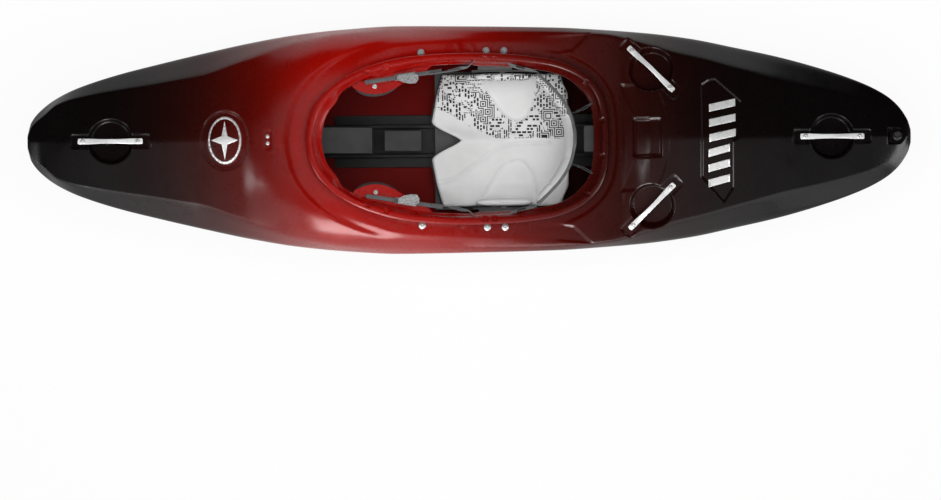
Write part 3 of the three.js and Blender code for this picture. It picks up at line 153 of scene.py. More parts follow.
BADGE = {
    "x": -0.681, "half_x": 0.070, "half_y": 0.085, "dome_x": 0.047, "dome_y": 0.067,
    "deep": 0.009, "dome": 0.006,
}
PAD_SPOT = {"x": -0.561, "half_x": 0.0095, "half_y": 0.027, "deep": 0.003, "screw_y": 0.0095}
PLATE_OUTLINE = [
    (0.640, -0.112), (0.640, 0.148), (0.662, 0.162), (0.683, 0.166), (0.757, 0.100), (0.759, 0.004),
    (0.734, -0.012), (0.735, -0.142), (0.706, -0.187),
]


# Shape helpers
def share_at(table, at):
    """Smooth reading of a share table: a cubic through its rows with level turning points."""
    rows = np.array(table, float)
    xs, ys = rows[:, 0], rows[:, 1]
    at = np.clip(np.asarray(at, float), xs[0], xs[-1])
    slope = np.diff(ys) / np.diff(xs)
    tangent = np.zeros(len(xs))
    tangent[0], tangent[-1] = slope[0], slope[-1]
    product, total = slope[:-1] * slope[1:], slope[:-1] + slope[1:]
    tangent[1:-1] = np.where(product > 0, 2 * product / np.where(total == 0, 1, total), 0)
    i = np.clip(np.searchsorted(xs, at, side="right") - 1, 0, len(xs) - 2)
    span = xs[i + 1] - xs[i]
    t = (at - xs[i]) / span
    curve = ys[i] + (ys[i + 1] - ys[i]) * t * t * (3 - 2 * t)
    return curve + span * (tangent[i] * t * (1 - t) ** 2 - tangent[i + 1] * t * t * (1 - t))


def ease(t):
    """Runs smoothly from 0 to 1 as t does."""
    t = np.clip(t, 0, 1)
    return t * t * (3 - 2 * t)


def box_distance(u, v, half_u, half_v, radius):
    """Distance to a rounded rectangle, negative inside."""
    qu, qv = np.abs(u) - half_u + radius, np.abs(v) - half_v + radius
    outside = np.hypot(np.maximum(qu, 0), np.maximum(qv, 0))
    return outside + np.minimum(np.maximum(qu, qv), 0) - radius


def line_distance(x, y, line, closed=False):
    """Distance of each point to a line of [x, y] points."""
    points = np.array(line, float)
    ends = np.roll(points, -1, axis=0) if closed else points[1:]
    starts = points if closed else points[:-1]
    best = np.full(np.shape(x), 1e9)
    for a, b in zip(starts, ends):
        d = b - a
        t = np.clip(((x - a[0]) * d[0] + (y - a[1]) * d[1]) / (d @ d), 0, 1)
        best = np.minimum(best, np.hypot(x - a[0] - t * d[0], y - a[1] - t * d[1]))
    return best


def inside_outline(x, y, outline):
    """True where a point lies in a closed outline of [x, y] points."""
    points = np.array(outline, float)
    inside = np.zeros(np.shape(x), bool)
    for a, b in zip(points, np.roll(points, -1, axis=0)):
        crosses = (a[1] > y) != (b[1] > y)
        with np.errstate(divide="ignore", invalid="ignore"):
            at = a[0] + (y - a[1]) * (b[0] - a[0]) / (b[1] - a[1])
        inside ^= crosses & (x < at)
    return inside


def signed_distance(x, y, outline):
    """Distance to a closed outline, negative inside."""
    return line_distance(x, y, outline, closed=True) * np.where(inside_outline(x, y, outline), -1, 1)


def smooth_curve(points, count, closed=False):
    """Evenly spaced points on a centripetal Catmull-Rom curve, as the part's source draws it."""
    p = np.array(points, float)
    if closed:
        p = np.vstack([p[-1], p, p[:2]])
    else:
        p = np.vstack([2 * p[0] - p[1], p, 2 * p[-1] - p[-2]])
    fine = []
    t = np.linspace(0, 1, 40, endpoint=False)[:, None]
    for a, b, c, d in zip(p, p[1:], p[2:], p[3:]):
        da, db, dc = (max(np.linalg.norm(q) ** 0.5, 1e-6) for q in (b - a, c - b, d - c))
        m0 = ((b - a) / da - (c - a) / (da + db) + (c - b) / db) * db
        m1 = ((c - b) / db - (d - b) / (db + dc) + (d - c) / dc) * db
        fine.append((2 * t**3 - 3 * t**2 + 1) * b + (t**3 - 2 * t**2 + t) * m0
                    + (3 * t**2 - 2 * t**3) * c + (t**3 - t**2) * m1)
    fine = np.vstack([*fine, p[-2][None]])
    reach = np.concatenate([[0], np.cumsum(np.linalg.norm(np.diff(fine, axis=0), axis=1))])
    at = np.linspace(0, reach[-1], count, endpoint=not closed)
    return np.stack([np.interp(at, reach, fine[:, k]) for k in range(fine.shape[1])], axis=1)


def unit(vectors):
    return vectors / np.linalg.norm(vectors, axis=-1, keepdims=True)


def frame_matrix(origin, along, across):
    x = Vector(along).normalized()
    z = x.cross(Vector(across)).normalized()
    y = z.cross(x)
    m = Matrix((x, y, z)).transposed().to_4x4()
    m.translation = Vector(origin)
    return m


def transform(points, matrix):
    m = np.array(matrix, float)
    return np.asarray(points, float) @ m[:3, :3].T + m[:3, 3]


def mirror_y(matrix, sign):
    return matrix if sign > 0 else Matrix.Scale(-1, 4, Vector((0, 1, 0))) @ matrix


# Hull form
def hull_lines(x):
    at = np.asarray(x, float) / LENGTH + 0.5
    half = BEAM / 2 * share_at(BREADTH_SHARES, at)
    keel = DEPTH * share_at(KEEL_SHARES, at)
    knuckle = DEPTH * share_at(KNUCKLE_SHARES, at)
    return {
        "half": half, "keel": keel, "knuckle": knuckle,
        "chine": keel + (knuckle - keel) * CHINE_RISE_SHARE,
        "gunwale": DEPTH * share_at(GUNWALE_SHARES, at),
        "crease": DEPTH * share_at(CREASE_SHARES, at),
        "deck": DEPTH * share_at(DECK_SHARES, at),
        "crease_y": half * share_at(CREASE_OUT_SHARES, at),
        "chine_y": half * share_at(CHINE_OUT_SHARES, at),
        "flat_y": half * share_at(FLAT_OUT_SHARES, at),
        "knuckle_y": half * KNUCKLE_OUT_SHARE,
        "crown": share_at(CROWN_SHARES, at),
    }


def deck_z(x, y):
    h = hull_lines(x)
    return h["deck"] - (h["deck"] - h["crease"]) * np.minimum(1, np.abs(y) / h["crease_y"]) ** h["crown"]


def deck_frame(x, y, turn):
    """The frame laid on the deck under a grab handle."""
    c, s = math.cos(turn), math.sin(turn)

    def at(a, b):
        px, py = x + c * a - s * b, y + s * a + c * b
        return Vector((px, py, float(deck_z(px, py))))

    reach = GRAB["screw_span"] / 2
    middle = (at(reach, 0) + at(-reach, 0)) / 2
    return frame_matrix(middle, at(reach, 0) - at(-reach, 0), at(0, GRAB["probe"]) - at(0, -GRAB["probe"]))


def side_frame():
    """The frame of the footrest screw's recess on the starboard side, its third axis into the hull."""
    def at(x, z):
        h = hull_lines(x)
        t = (z - h["knuckle"]) / (h["gunwale"] - h["knuckle"])
        return Vector((x, float(h["knuckle_y"] + (h["half"] - h["knuckle_y"]) * t), z))

    probe = FOOT["recess_high"] / 2
    x, z = FOOT["x"], FOOT["z"]
    along = (at(x + probe, z) - at(x - probe, z)).normalized()
    return frame_matrix(at(x, z), along, at(x, z + probe) - at(x, z - probe))


# Coaming line
def coaming_line(count):
    """The outer edge of the lip seen from above, and the outward normal there."""
    c = COAMING
    side = [(c["centre_x"] + s * c["length"] / 2, w * c["width"] / 2) for s, w in COAMING_SHARES]
    other = [(x, -y) for x, y in side[-2:0:-1]]
    line = smooth_curve(side + other, count, closed=True)
    tangent = unit(np.roll(line, -1, axis=0) - np.roll(line, 1, axis=0))
    return line, np.stack([-tangent[:, 1], tangent[:, 0]], axis=1)


def coaming_top(x):
    return TOP * share_at(COAMING_TOP_SHARES, (x - COAMING["centre_x"]) / (COAMING["length"] / 2))


coaming_outline, _ = coaming_line(240)


def coaming_distance(x, y):
    """Distance to the lip's outer edge, negative inside the coaming, worked out only near it."""
    away = np.full(np.shape(x), 1.0)
    c = COAMING
    near = (np.abs(x - c["centre_x"]) < c["length"] / 2 + 0.12) & (np.abs(y) < c["width"] / 2 + 0.09)
    if np.any(near):
        away[near] = signed_distance(x[near], y[near], coaming_outline)
    return away


# Moulded details
def deck_relief(x, y):
    """How far the moulded details lift the deck above its plain crown."""
    side = np.abs(y)
    lift = np.zeros(np.shape(x))
    # gutter round the front and rear of the coaming
    away = coaming_distance(x, y)
    front, rear = ease((-0.19 - x) / 0.14), ease((x - 0.22) / 0.08)
    lift -= 0.009 * front * ease((0.064 - away) / 0.018)
    lift -= 0.006 * rear * ease((0.030 - away) / 0.012)
    # two low ribs a side beside the coaming
    lift += 0.0022 * ease(-box_distance(x + 0.032, side - 0.254, 0.0065, 0.013, 0.003) / 0.002)
    lift += 0.0022 * ease(-box_distance(x - 0.0085, side - 0.254, 0.003, 0.010, 0.002) / 0.002)
    # the side deck is a level shelf: low beside the coaming, full out to the gunwale
    h = hull_lines(x)
    shelf = (h["deck"] - h["crease"]) * ease((x + 0.36) / 0.16) * ease((0.36 - x) / 0.10)
    lift -= 0.15 * shelf * ease((0.040 - away) / 0.034) * ease((side - 0.16) / 0.03)
    out_share = (side - 0.245) / np.maximum(h["crease_y"] - 0.245, 0.02)
    lift += 0.05 * shelf * ease(out_share / 0.5) * ease((1 - out_share) / 0.45)
    # wedge where the shelf ends against the stern's shoulder
    wedge = [(0.346, 0.297), (0.287, 0.243), (0.250, 0.236), (0.190, 0.246), (0.190, 0.286), (0.250, 0.288)]
    lift -= 0.0065 * ease(-signed_distance(x, side, wedge) / 0.006) * ease((x - 0.19) / 0.09)
    # carved step behind the coaming
    step = box_distance(x - 0.492, side, 0.041, 0.055, 0.006)
    lift -= 0.009 * ease(-step / 0.006)
    arc = 0.556 - 0.027 * (side / 0.123) ** 2
    edge = np.where(side < 0.065, 0.451, 0.451 - 0.035 * (side - 0.065) / 0.082)
    band = np.minimum(np.minimum(x - edge, arc - x), 0.150 - side)
    lift -= 0.004 * ease(band / 0.006)
    # oval badge seat on the bow
    b = BADGE
    u, v = x - b["x"], y
    rim = 1 - np.hypot(u / b["half_x"], v / b["half_y"])
    dome = 1 - np.hypot(u / b["dome_x"], v / b["dome_y"])
    lift -= b["deep"] * ease(rim / 0.12)
    lift += ease(dome / 0.12) * (b["deep"] * 0.7 + b["dome"] * np.clip(dome, 0, 1) ** 0.5)
    # small seat with two screws
    p = PAD_SPOT
    lift -= p["deep"] * ease(-box_distance(x - p["x"], y, p["half_x"], p["half_y"], 0.002) / 0.002)
    # name plate seat on the stern, left plain
    lift -= 0.006 * ease(-signed_distance(x, y, PLATE_OUTLINE) / 0.007)
    # screw seats
    for sx, sy in DECK_SCREWS.values():
        lift += 0.001 * ease((0.0145 - np.hypot(x - sx, side - sy)) / 0.002)
    return lift


def press_wells(points):
    """Sinks the finger wells and handle trays into the deck, square to it at each handle."""
    g = GRAB
    for place in GRAB_PLACES.values():
        m = deck_frame(*place)
        local = transform(points, m.inverted())
        u, v, w = local.T
        near = (np.abs(u) < 0.14) & (np.abs(v) < 0.09) & (np.abs(w) < 0.12)
        tray = ease(-box_distance(u, v, g["tray_length"] / 2, g["tray_width"] / 2, 0.008) / g["tray_round"])
        bowl = ease((g["well_radius"] - np.hypot(u, v)) / g["well_round"])
        sunk = w + (-g["tray_depth"] - w) * tray
        sunk = sunk + (-g["well_depth"] - sunk) * bowl
        shift = np.where(near, sunk - w, 0)
        points = points + shift[:, None] * np.array(m.to_3x3().col[2])[None]
    return points


def press_drain(points):
    d = DRAIN
    x, y, z = points.T
    seat = float(deck_z(d["x"], 0)) - d["seat_drop"]
    inside = np.minimum(x - d["x"] + d["front"], d["half"] - np.abs(y))
    share = ease(inside / d["round"]) * (z > seat)
    z = z + (seat - z) * share
    return np.stack([x, y, z], axis=1)


def press_sides(points):
    """Sinks the long recess of the footrest screw into both sides."""
    f = FOOT
    m = side_frame()
    mirror = np.array([1, -1, 1])
    for flip in (np.ones(3), mirror):
        local = transform(points * flip, m.inverted())
        u, v, w = local.T
        near = (np.abs(u) < 0.06) & (np.abs(v) < 0.04) & (np.abs(w) < 0.03)
        half_high = f["recess_high"] / 2
        share = ease(-box_distance(u, v, f["recess_long"] / 2, half_high, half_high) / 0.003)
        shift = np.where(near, (f["recess_deep"] - w) * share, 0)
        points = points + (shift[:, None] * np.array(m.to_3x3().col[2])[None]) * flip
    return points


# Hull mesh
FINE_ZONES = [(-1.125, -0.875), (-0.765, -0.545), (0.270, 0.775), (0.890, 1.130), (1.155, 1.230)]
FINE_STEP, COARSE_STEP = 0.0033, 0.0068
PANEL_STEPS, DECK_STEPS = 9, 136
BOTTOM_STEPS = (14, 8, 12, 12)


def hull_stations():
    places = [-LENGTH / 2]
    while places[-1] < LENGTH / 2:
        x = places[-1]
        fine = any(a <= x <= b for a, b in FINE_ZONES) or abs(x - FOOT["x"]) < 0.045
        step = FINE_STEP if fine else COARSE_STEP
        tip = LENGTH / 2 - abs(x + step / 2)
        places.append(x + max(0.0008, min(step, 0.0008 + 0.22 * max(tip, 0))))
    places[-1] = LENGTH / 2
    return np.array(places)


def run(a, b, count):
    t = np.arange(count)[None] / count
    return a[:, None] + (b - a)[:, None] * t


def hull_rings(x):
    """Rings of [y, z] from the port gunwale over the deck to starboard and back under the hull."""
    h = hull_lines(x)
    q = np.linspace(-1, 1, DECK_STEPS + 1)
    s = 0.75 * q + 0.25 * np.sin(q * math.pi / 2)
    y = h["crease_y"][:, None] * s[None]
    z = h["deck"][:, None] - (h["deck"] - h["crease"])[:, None] * np.abs(s[None]) ** h["crown"][:, None]
    panel_y, panel_z = run(h["half"], h["crease_y"], PANEL_STEPS), run(h["gunwale"], h["crease"], PANEL_STEPS)
    ys = [-panel_y, y[:, :-1], run(h["crease_y"], h["half"], PANEL_STEPS)]
    zs = [panel_z, z[:, :-1], run(h["crease"], h["gunwale"], PANEL_STEPS)]
    corners = [("half", "gunwale"), ("knuckle_y", "knuckle"), ("chine_y", "chine"), ("flat_y", "keel")]
    spans = list(zip(corners, corners[1:], BOTTOM_STEPS))
    for (ya, za), (yb, zb), count in spans:
        ys.append(run(h[ya], h[yb], count))
        zs.append(run(h[za], h[zb], count))
    ys.append(run(h["flat_y"], -h["flat_y"], BOTTOM_STEPS[3]))
    zs.append(run(h["keel"], h["keel"], BOTTOM_STEPS[3]))
    for (ya, za), (yb, zb), count in spans[::-1]:
        ys.append(run(-h[yb], -h[ya], count))
        zs.append(run(h[zb], h[za], count))
    rings = np.stack([np.hstack(ys), np.hstack(zs)], axis=2)
    for _ in range(5):
        rings = 0.5 * rings + 0.25 * (np.roll(rings, 1, axis=1) + np.roll(rings, -1, axis=1))
    return rings


def grid_normals(grid):
    """Outward normals of a lofted grid that wraps round its second axis."""
    along = np.gradient(grid, axis=0)
    round_ = np.roll(grid, -1, axis=1) - np.roll(grid, 1, axis=1)
    n = np.cross(along, round_)
    length = np.linalg.norm(n, axis=2, keepdims=True)
    return n / np.maximum(length, 1e-12)


def hull_grid():
    x = hull_stations()
    rings = hull_rings(x)
    count = rings.shape[1]
    grid = np.dstack([np.repeat(x[:, None], count, axis=1), rings[:, :, 0], rings[:, :, 1]])
    deck_end = 2 * PANEL_STEPS + DECK_STEPS
    deck = grid[:, :deck_end].reshape(-1, 3)
    deck[:, 2] += deck_relief(deck[:, 0], deck[:, 1])
    deck = press_drain(press_wells(deck))
    grid[:, :deck_end] = deck.reshape(len(x), deck_end, 3)
    sides = press_sides(grid[:, deck_end:].reshape(-1, 3))
    grid[:, deck_end:] = sides.reshape(len(x), count - deck_end, 3)
    return grid, deck_end


def link(obj):
    bpy.context.scene.collection.objects.link(obj)
    return obj


def mesh_object(name, points, faces, normals=None):
    mesh = bpy.data.meshes.new(name)
    points = [tuple(p) for p in np.asarray(points, float)]
    mesh.from_pydata(points, [], [tuple(int(i) for i in f) for f in faces])
    mesh.validate()
    mesh.shade_smooth()
    if normals is not None:
        mesh.normals_split_custom_set_from_vertices([tuple(n) for n in normals])
    return link(bpy.data.objects.new(name, mesh))


def snap_to_hole(points, used, out):
    """Draws points that reach into the cockpit back to an even line round it."""
    line, outward = coaming_line(1600)
    ring = line + outward * (out - COAMING["lip_out"])
    xy = points[used, :2]
    away = coaming_distance(xy[:, 0], xy[:, 1])
    for i in used[away < out - COAMING["lip_out"]]:
        points[i, :2] = ring[np.argmin(np.hypot(*(ring - points[i, :2]).T))]


def grid_object(name, grid, wrap=False, normals=None, keep=None, flip=False, hole_out=None):
    """A surface from a grid of points, without the faces that keep turns down."""
    rows, cols = grid.shape[:2]
    spans = cols if wrap else cols - 1
    r, c = np.meshgrid(np.arange(rows - 1), np.arange(spans), indexing="ij")
    nxt = (c + 1) % cols
    here, there = r * cols, (r + 1) * cols
    quads = np.stack([here + c, here + nxt, there + nxt, there + c], axis=-1).reshape(-1, 4)
    points = grid.reshape(-1, 3)
    if keep is not None:
        quads = quads[keep(points[quads].mean(axis=1))]
    if flip:
        quads = quads[:, ::-1]
    used = np.unique(quads)
    index = np.zeros(len(points), int)
    index[used] = np.arange(len(used))
    if hole_out is not None:
        points = points.copy()
        snap_to_hole(points, used, hole_out)
    picked = None if normals is None else normals.reshape(-1, 3)[used]
    return mesh_object(name, points[used], index[quads], picked)


# Materials
def new_material(name, colour, roughness, metallic=0.0, **sockets):
    material = bpy.data.materials.new(name)
    material.use_nodes = True
    shader = material.node_tree.nodes["Principled BSDF"]
    shader.inputs["Base Color"].default_value = (*colour, 1)
    shader.inputs["Roughness"].default_value = roughness
    shader.inputs["Metallic"].default_value = metallic
    for socket, value in sockets.items():
        shader.inputs[socket.replace("_", " ")].default_value = value
    return material


class Nodes:
    """Short calls for building the nodes of a material or of the world."""

    def __init__(self, owner, shader="Principled BSDF"):
        self.tree = owner.node_tree
        self.shader = self.tree.nodes[shader]
        self.coords = self.add("ShaderNodeTexCoord").outputs
        self.place = self.coords["Object"]

    def add(self, kind, inputs=None, **settings):
        node = self.tree.nodes.new(kind)
        for key, value in settings.items():
            setattr(node, key, value)
        for key, value in (inputs or {}).items():
            if hasattr(value, "is_output"):
                self.tree.links.new(value, node.inputs[key])
            else:
                node.inputs[key].default_value = value
        return node

    def math(self, operation, a, b=0.0):
        return self.add("ShaderNodeMath", {0: a, 1: b}, operation=operation).outputs[0]

    def noise(self, scale, detail=3.0, place=None):
        inputs = {"Vector": place or self.place, "Scale": scale, "Detail": detail}
        return self.add("ShaderNodeTexNoise", inputs).outputs["Fac"]

    def mix(self, share, a, b):
        node = self.add("ShaderNodeMix", {0: share, 6: a, 7: b}, data_type="RGBA")
        return node.outputs[2]

    def span(self, value, low, high, to_low=0.0, to_high=1.0):
        return self.add("ShaderNodeMapRange", {0: value, 1: low, 2: high, 3: to_low, 4: to_high}).outputs[0]

    def soft_span(self, value, low, high):
        inputs = {0: value, 1: low, 2: high}
        return self.add("ShaderNodeMapRange", inputs, interpolation_type="SMOOTHSTEP").outputs[0]

    def cells(self, scale, output="Distance"):
        return self.add("ShaderNodeTexVoronoi", {"Vector": self.place, "Scale": scale}).outputs[output]

    def wave(self, direction, scale, distortion):
        inputs = {"Vector": self.place, "Scale": scale, "Distortion": distortion}
        return self.add("ShaderNodeTexWave", inputs, bands_direction=direction).outputs["Fac"]

    def above(self, value, limit):
        return self.math("GREATER_THAN", value, limit)

    def soft_edge(self, radius):
        return self.add("ShaderNodeBevel", {"Radius": radius}, samples=4).outputs["Normal"]

    def blotch(self, value, colour, shade, low=0.3, high=0.7):
        """Mixes the colour with a darker or lighter one of its own."""
        other = tuple(min(1, shade * c) for c in colour)
        return self.mix(self.span(value, low, high), (*other, 1), (*colour, 1))

    def link(self, output, socket):
        self.tree.links.new(output, self.shader.inputs[socket])

    def bump(self, height, strength, distance, normal=None):
        inputs = {"Height": height, "Strength": strength, "Distance": distance}
        if normal is not None:
            inputs["Normal"] = normal
        return self.add("ShaderNodeBump", inputs).outputs["Normal"]

    def stretched(self, sx, sy, sz):
        return self.add("ShaderNodeMapping", {"Vector": self.place, "Scale": (sx, sy, sz)}).outputs["Vector"]


SHELL_INK, SHELL_RED = (0.0015, 0.0010, 0.0010), (0.32, 0.0028, 0.0009)
SHELL_BOW_FADE, SHELL_STERN_FADE = (-1.12, -0.36), (0.94, -0.16)


def shell_material(name, roughness, level=1.0, coat=0.08):
    """Two plastics run into each other in the mould: black ends and a red middle."""
    material = new_material(name, (0.3, 0.004, 0.001), roughness, IOR=1.5, Specular_IOR_Level=0.24,
                            Coat_Weight=coat, Coat_Roughness=0.09)
    n = Nodes(material)
    x = n.add("ShaderNodeSeparateXYZ", {0: n.place}).outputs["X"]
    drift = n.math("MULTIPLY", n.math("SUBTRACT", n.noise(5.0, 2.0), 0.5), 0.035)
    at = n.math("ADD", x, drift)
    red = n.math("MULTIPLY", n.soft_span(at, *SHELL_BOW_FADE), n.soft_span(at, *SHELL_STERN_FADE))
    channels = {}
    for i, (ink, full) in enumerate(zip(SHELL_INK, SHELL_RED)):
        channels[i] = n.math("MULTIPLY", n.math("POWER", full / ink, red), level * ink)
    blend = n.add("ShaderNodeCombineColor", channels).outputs["Color"]
    speckle = n.span(n.noise(1400.0, 2.0), 0.3, 0.7, 0.86, 1.12)
    tint = n.add("ShaderNodeVectorMath", {0: blend, 3: speckle}, operation="SCALE").outputs[0]
    n.link(tint, "Base Color")
    scuff = n.span(n.noise(18.0, 5.0), 0.35, 0.75, roughness - 0.03, roughness + 0.05)
    n.link(scuff, "Roughness")
    grain = n.bump(n.noise(1100.0, 2.0), 0.10, 0.0004)
    n.link(n.bump(n.noise(24.0, 2.0), 0.05, 0.0012, grain), "Normal")
    return material


def foam_material(name, colour, shade=0.75):
    material = new_material(name, colour, 0.85, Specular_IOR_Level=0.25)
    n = Nodes(material)
    n.link(n.blotch(n.noise(30.0, 4.0), colour, shade), "Base Color")
    n.link(n.bump(n.cells(520.0), 0.35, 0.0006), "Normal")
    return material


def plastic_material(name, colour, roughness, grain=900.0):
    material = new_material(name, colour, roughness)
    n = Nodes(material)
    cloud = n.span(n.noise(60.0, 4.0), 0.3, 0.7)
    light = tuple(min(1, c * 1.25 + 0.002) for c in colour)
    n.link(n.mix(cloud, (*colour, 1), (*light, 1)), "Base Color")
    n.link(n.span(n.noise(25.0, 3.0), 0.3, 0.7, roughness - 0.05, roughness + 0.08), "Roughness")
    n.link(n.bump(n.noise(grain, 2.0), 0.12, 0.0003, n.soft_edge(0.0008)), "Normal")
    return material


def metal_material(name, colour, roughness, streaks=(1, 1, 1), relief=0.08, metallic=1.0):
    material = new_material(name, colour, roughness, metallic=metallic)
    n = Nodes(material)
    brushed = n.noise(1.0, 4.0, n.stretched(*(700.0 * s for s in streaks)))
    n.link(n.blotch(brushed, colour, 0.86), "Base Color")
    n.link(n.span(n.noise(40.0, 3.0), 0.3, 0.7, roughness - 0.06, roughness + 0.08), "Roughness")
    n.link(n.bump(brushed, relief, 0.0003, n.soft_edge(0.0006)), "Normal")
    return material


def cast_material(name, colour, roughness):
    """Rough cast alloy of the ratchets, knurled where fingers hold it."""
    material = new_material(name, colour, roughness, metallic=0.5)
    n = Nodes(material)
    knurl = n.cells(330.0)
    n.link(n.mix(n.span(knurl, 0.1, 0.7), (*colour, 1), (*(0.40 * c for c in colour), 1)), "Base Color")
    n.link(n.bump(knurl, 0.6, 0.0012), "Normal")
    return material


def web_material(name, colour, along=(1, 0, 0)):
    """Woven strap: close ribs across a flat weave."""
    material = new_material(name, colour, 0.8, Specular_IOR_Level=0.3, Sheen_Weight=0.2)
    n = Nodes(material)
    weave = n.math("MULTIPLY", n.wave("X", 330.0, 0.4), n.wave("Z", 200.0, 0.2))
    dark = tuple(0.55 * c for c in colour)
    n.link(n.mix(weave, (*dark, 1), (*colour, 1)), "Base Color")
    n.link(n.bump(weave, 0.5, 0.0008), "Normal")
    return material


def cover_material(name, colour, printed):
    """Moulded seat cover with a fine knit; the printed kind carries plain black dashes and rings."""
    material = new_material(name, colour, 0.62, Specular_IOR_Level=0.35, Sheen_Weight=0.15)
    n = Nodes(material)
    knit = n.cells(900.0)
    base = n.blotch(n.noise(14.0, 3.0), colour, 0.90, 0.3, 0.75)
    if printed:
        here = n.add("ShaderNodeAttribute", attribute_name="print").outputs["Fac"]
        cells = n.add("ShaderNodeTexVoronoi", {"Vector": n.place, "Scale": 30.0, "Randomness": 0.9},
                      distance="CHEBYCHEV")
        pick = n.add("ShaderNodeSeparateColor", {0: cells.outputs["Color"]})
        quarter_turn = {"Vector": n.place, "Rotation": (0, 0, math.pi / 2)}
        turned = n.add("ShaderNodeMapping", quarter_turn).outputs["Vector"]
        ink = []
        for place, width, height, gap in ((n.place, 0.015, 0.0090, 0.0016), (turned, 0.013, 0.0085, 0.0015),
                                          (n.place, 0.0080, 0.0052, 0.0010), (turned, 0.022, 0.0062, 0.0013)):
            row = n.add("ShaderNodeTexBrick", {
                "Vector": place, "Scale": 1.0, "Color1": (0, 0, 0, 1), "Color2": (1, 1, 1, 1),
                "Mortar": (1, 1, 1, 1), "Mortar Size": gap, "Mortar Smooth": 0.0, "Brick Width": width,
                "Row Height": height, "Bias": 0.0}, offset=0.37, squash=0.7, squash_frequency=3)
            ink.append(n.above(row.outputs["Color"], 0.62))
        across = n.mix(n.above(pick.outputs["Red"], 0.5), ink[0], ink[1])
        fine = n.mix(n.above(pick.outputs["Red"], 0.5), ink[2], ink[3])
        marks = n.mix(n.above(pick.outputs["Green"], 0.45), across, fine)
        rings = n.above(n.math("FRACT", n.math("MULTIPLY", cells.outputs["Distance"], 6.0)), 0.5)
        marks = n.mix(n.above(pick.outputs["Blue"], 0.80), marks, rings)
        inked = n.mix(marks, (0.012, 0.012, 0.013, 1), base)
        base = n.mix(here, base, inked)
    n.link(base, "Base Color")
    n.link(n.bump(knit, 0.15, 0.0004), "Normal")
    return material


shell = shell_material("shell_outside", 0.28)
# The inside uses the shell's own plastic darkened to a third of its colour: painted shade inside the hull.
liner = shell_material("shell_inside", 0.55, 0.32, 0.0)
liner.node_tree.nodes["Principled BSDF"].inputs["Specular IOR Level"].default_value = 0.08
black = plastic_material("black_plastic", (0.012, 0.012, 0.012), 0.42)
dark = plastic_material("dark_plastic", (0.045, 0.045, 0.045), 0.5)
strap_plastic = plastic_material("strap_plastic", (0.075, 0.076, 0.078), 0.5)
rubber = plastic_material("black_rubber", (0.015, 0.015, 0.015), 0.7)
grey_foam = foam_material("grey_foam", (0.055, 0.055, 0.056))
pad_foam = foam_material("pad_foam", (0.045, 0.045, 0.047))
under_foam = foam_material("underlay_foam", (0.05, 0.05, 0.052))
steel = metal_material("screw_steel", (0.62, 0.62, 0.62), 0.3, metallic=0.65)
bar_metal = metal_material("bar_metal", (0.86, 0.86, 0.86), 0.34, (0.25, 0.9, 0.9), relief=0.02, metallic=0.4)
alloy = metal_material("rail_alloy", (0.55, 0.55, 0.56), 0.35)
cast = cast_material("cast_alloy", (0.60, 0.60, 0.61), 0.34)
webbing = web_material("grey_webbing", (0.16, 0.16, 0.165))
cord_web = web_material("bungee_cover", (0.05, 0.052, 0.055))
edge_web = web_material("band_edge", (0.17, 0.17, 0.175))
white_cover = cover_material("white_cover", (0.74, 0.74, 0.74), False)
print_cover = cover_material("printed_cover", (0.74, 0.74, 0.74), True)
plate_metal = metal_material("plate_metal", (0.82, 0.82, 0.82), 0.3, metallic=0.45)
white_paint = plastic_material("white_paint", (0.78, 0.78, 0.78), 0.35)


def finish(obj, material, slot, body, *nodes):
    obj.data.materials.clear()
    obj.data.materials.append(material)
    if body:
        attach(obj, body)
    if nodes:
        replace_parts(obj, *nodes)
    return obj


# Hull, liner and coaming
def build_hull():
    grid, deck_end = hull_grid()
    normals = grid_normals(grid)
    open_to = COAMING["lip_out"] - COAMING["foot_out"] + 0.002

    def outside_cockpit(centres):
        return coaming_distance(centres[:, 0], centres[:, 1]) > -open_to

    deck = grid_object("hull_deck", grid[:, :deck_end + 1], normals=normals[:, :deck_end + 1],
                       keep=outside_cockpit, flip=True, hole_out=0.0065)
    finish(deck, shell, "shell_plastic", "hull", "hull_shell")
    low = np.concatenate([grid[:, deck_end:], grid[:, :1]], axis=1)
    low_normals = np.concatenate([normals[:, deck_end:], normals[:, :1]], axis=1)
    bottom = grid_object("hull_bottom", low, normals=low_normals, flip=True)
    finish(bottom, shell, "shell_plastic", "hull", "hull_shell")
    x = grid[:, 0, 0]
    rows = np.flatnonzero(np.abs(x) < 0.485 * LENGTH)[::2]
    inner = grid[rows][:, ::2] - WALL * normals[rows][:, ::2]

    def under_deck(centres):
        h = hull_lines(centres[:, 0])
        in_hole = coaming_distance(centres[:, 0], centres[:, 1]) < -(COAMING["lip_out"] - 0.003)
        return ~(in_hole & (centres[:, 2] > h["gunwale"] * 0.9))

    inside = grid_object("hull_liner", inner, wrap=True, keep=under_deck)
    trim_liner(inside)
    finish(inside, liner, "shell_plastic", "hull", "hull_shell")
    for end, place in ((0, "bow"), (-1, "stern")):
        ring = grid[end]
        centre = ring.mean(axis=0)
        points = np.vstack([ring, centre])
        count = len(ring)
        faces = [(i, (i + 1) % count, count) for i in range(count)]
        if end == 0:
            faces = [f[::-1] for f in faces]
        cap = mesh_object(f"hull_cap_{place}", points, faces)
        finish(cap, shell, "shell_plastic", "hull", "hull_shell")


def trim_liner(obj):
    """Evens out the liner's edge under the coaming."""
    mesh = obj.data
    co = np.array([v.co for v in mesh.vertices], float)
    high = co[:, 2] > hull_lines(co[:, 0])["gunwale"] * 0.95
    snap_to_hole(co, np.flatnonzero(high), 0.004)
    mesh.vertices.foreach_set("co", co.ravel())
    mesh.update()


COAMING_STEPS, PROFILE_POINTS = 900, 84
NOTCHES = [(-0.284, 0.180), (-0.231, 0.192), (0.038, 0.212), (0.066, 0.212), (0.320, 0.152), (0.364, 0.049)]


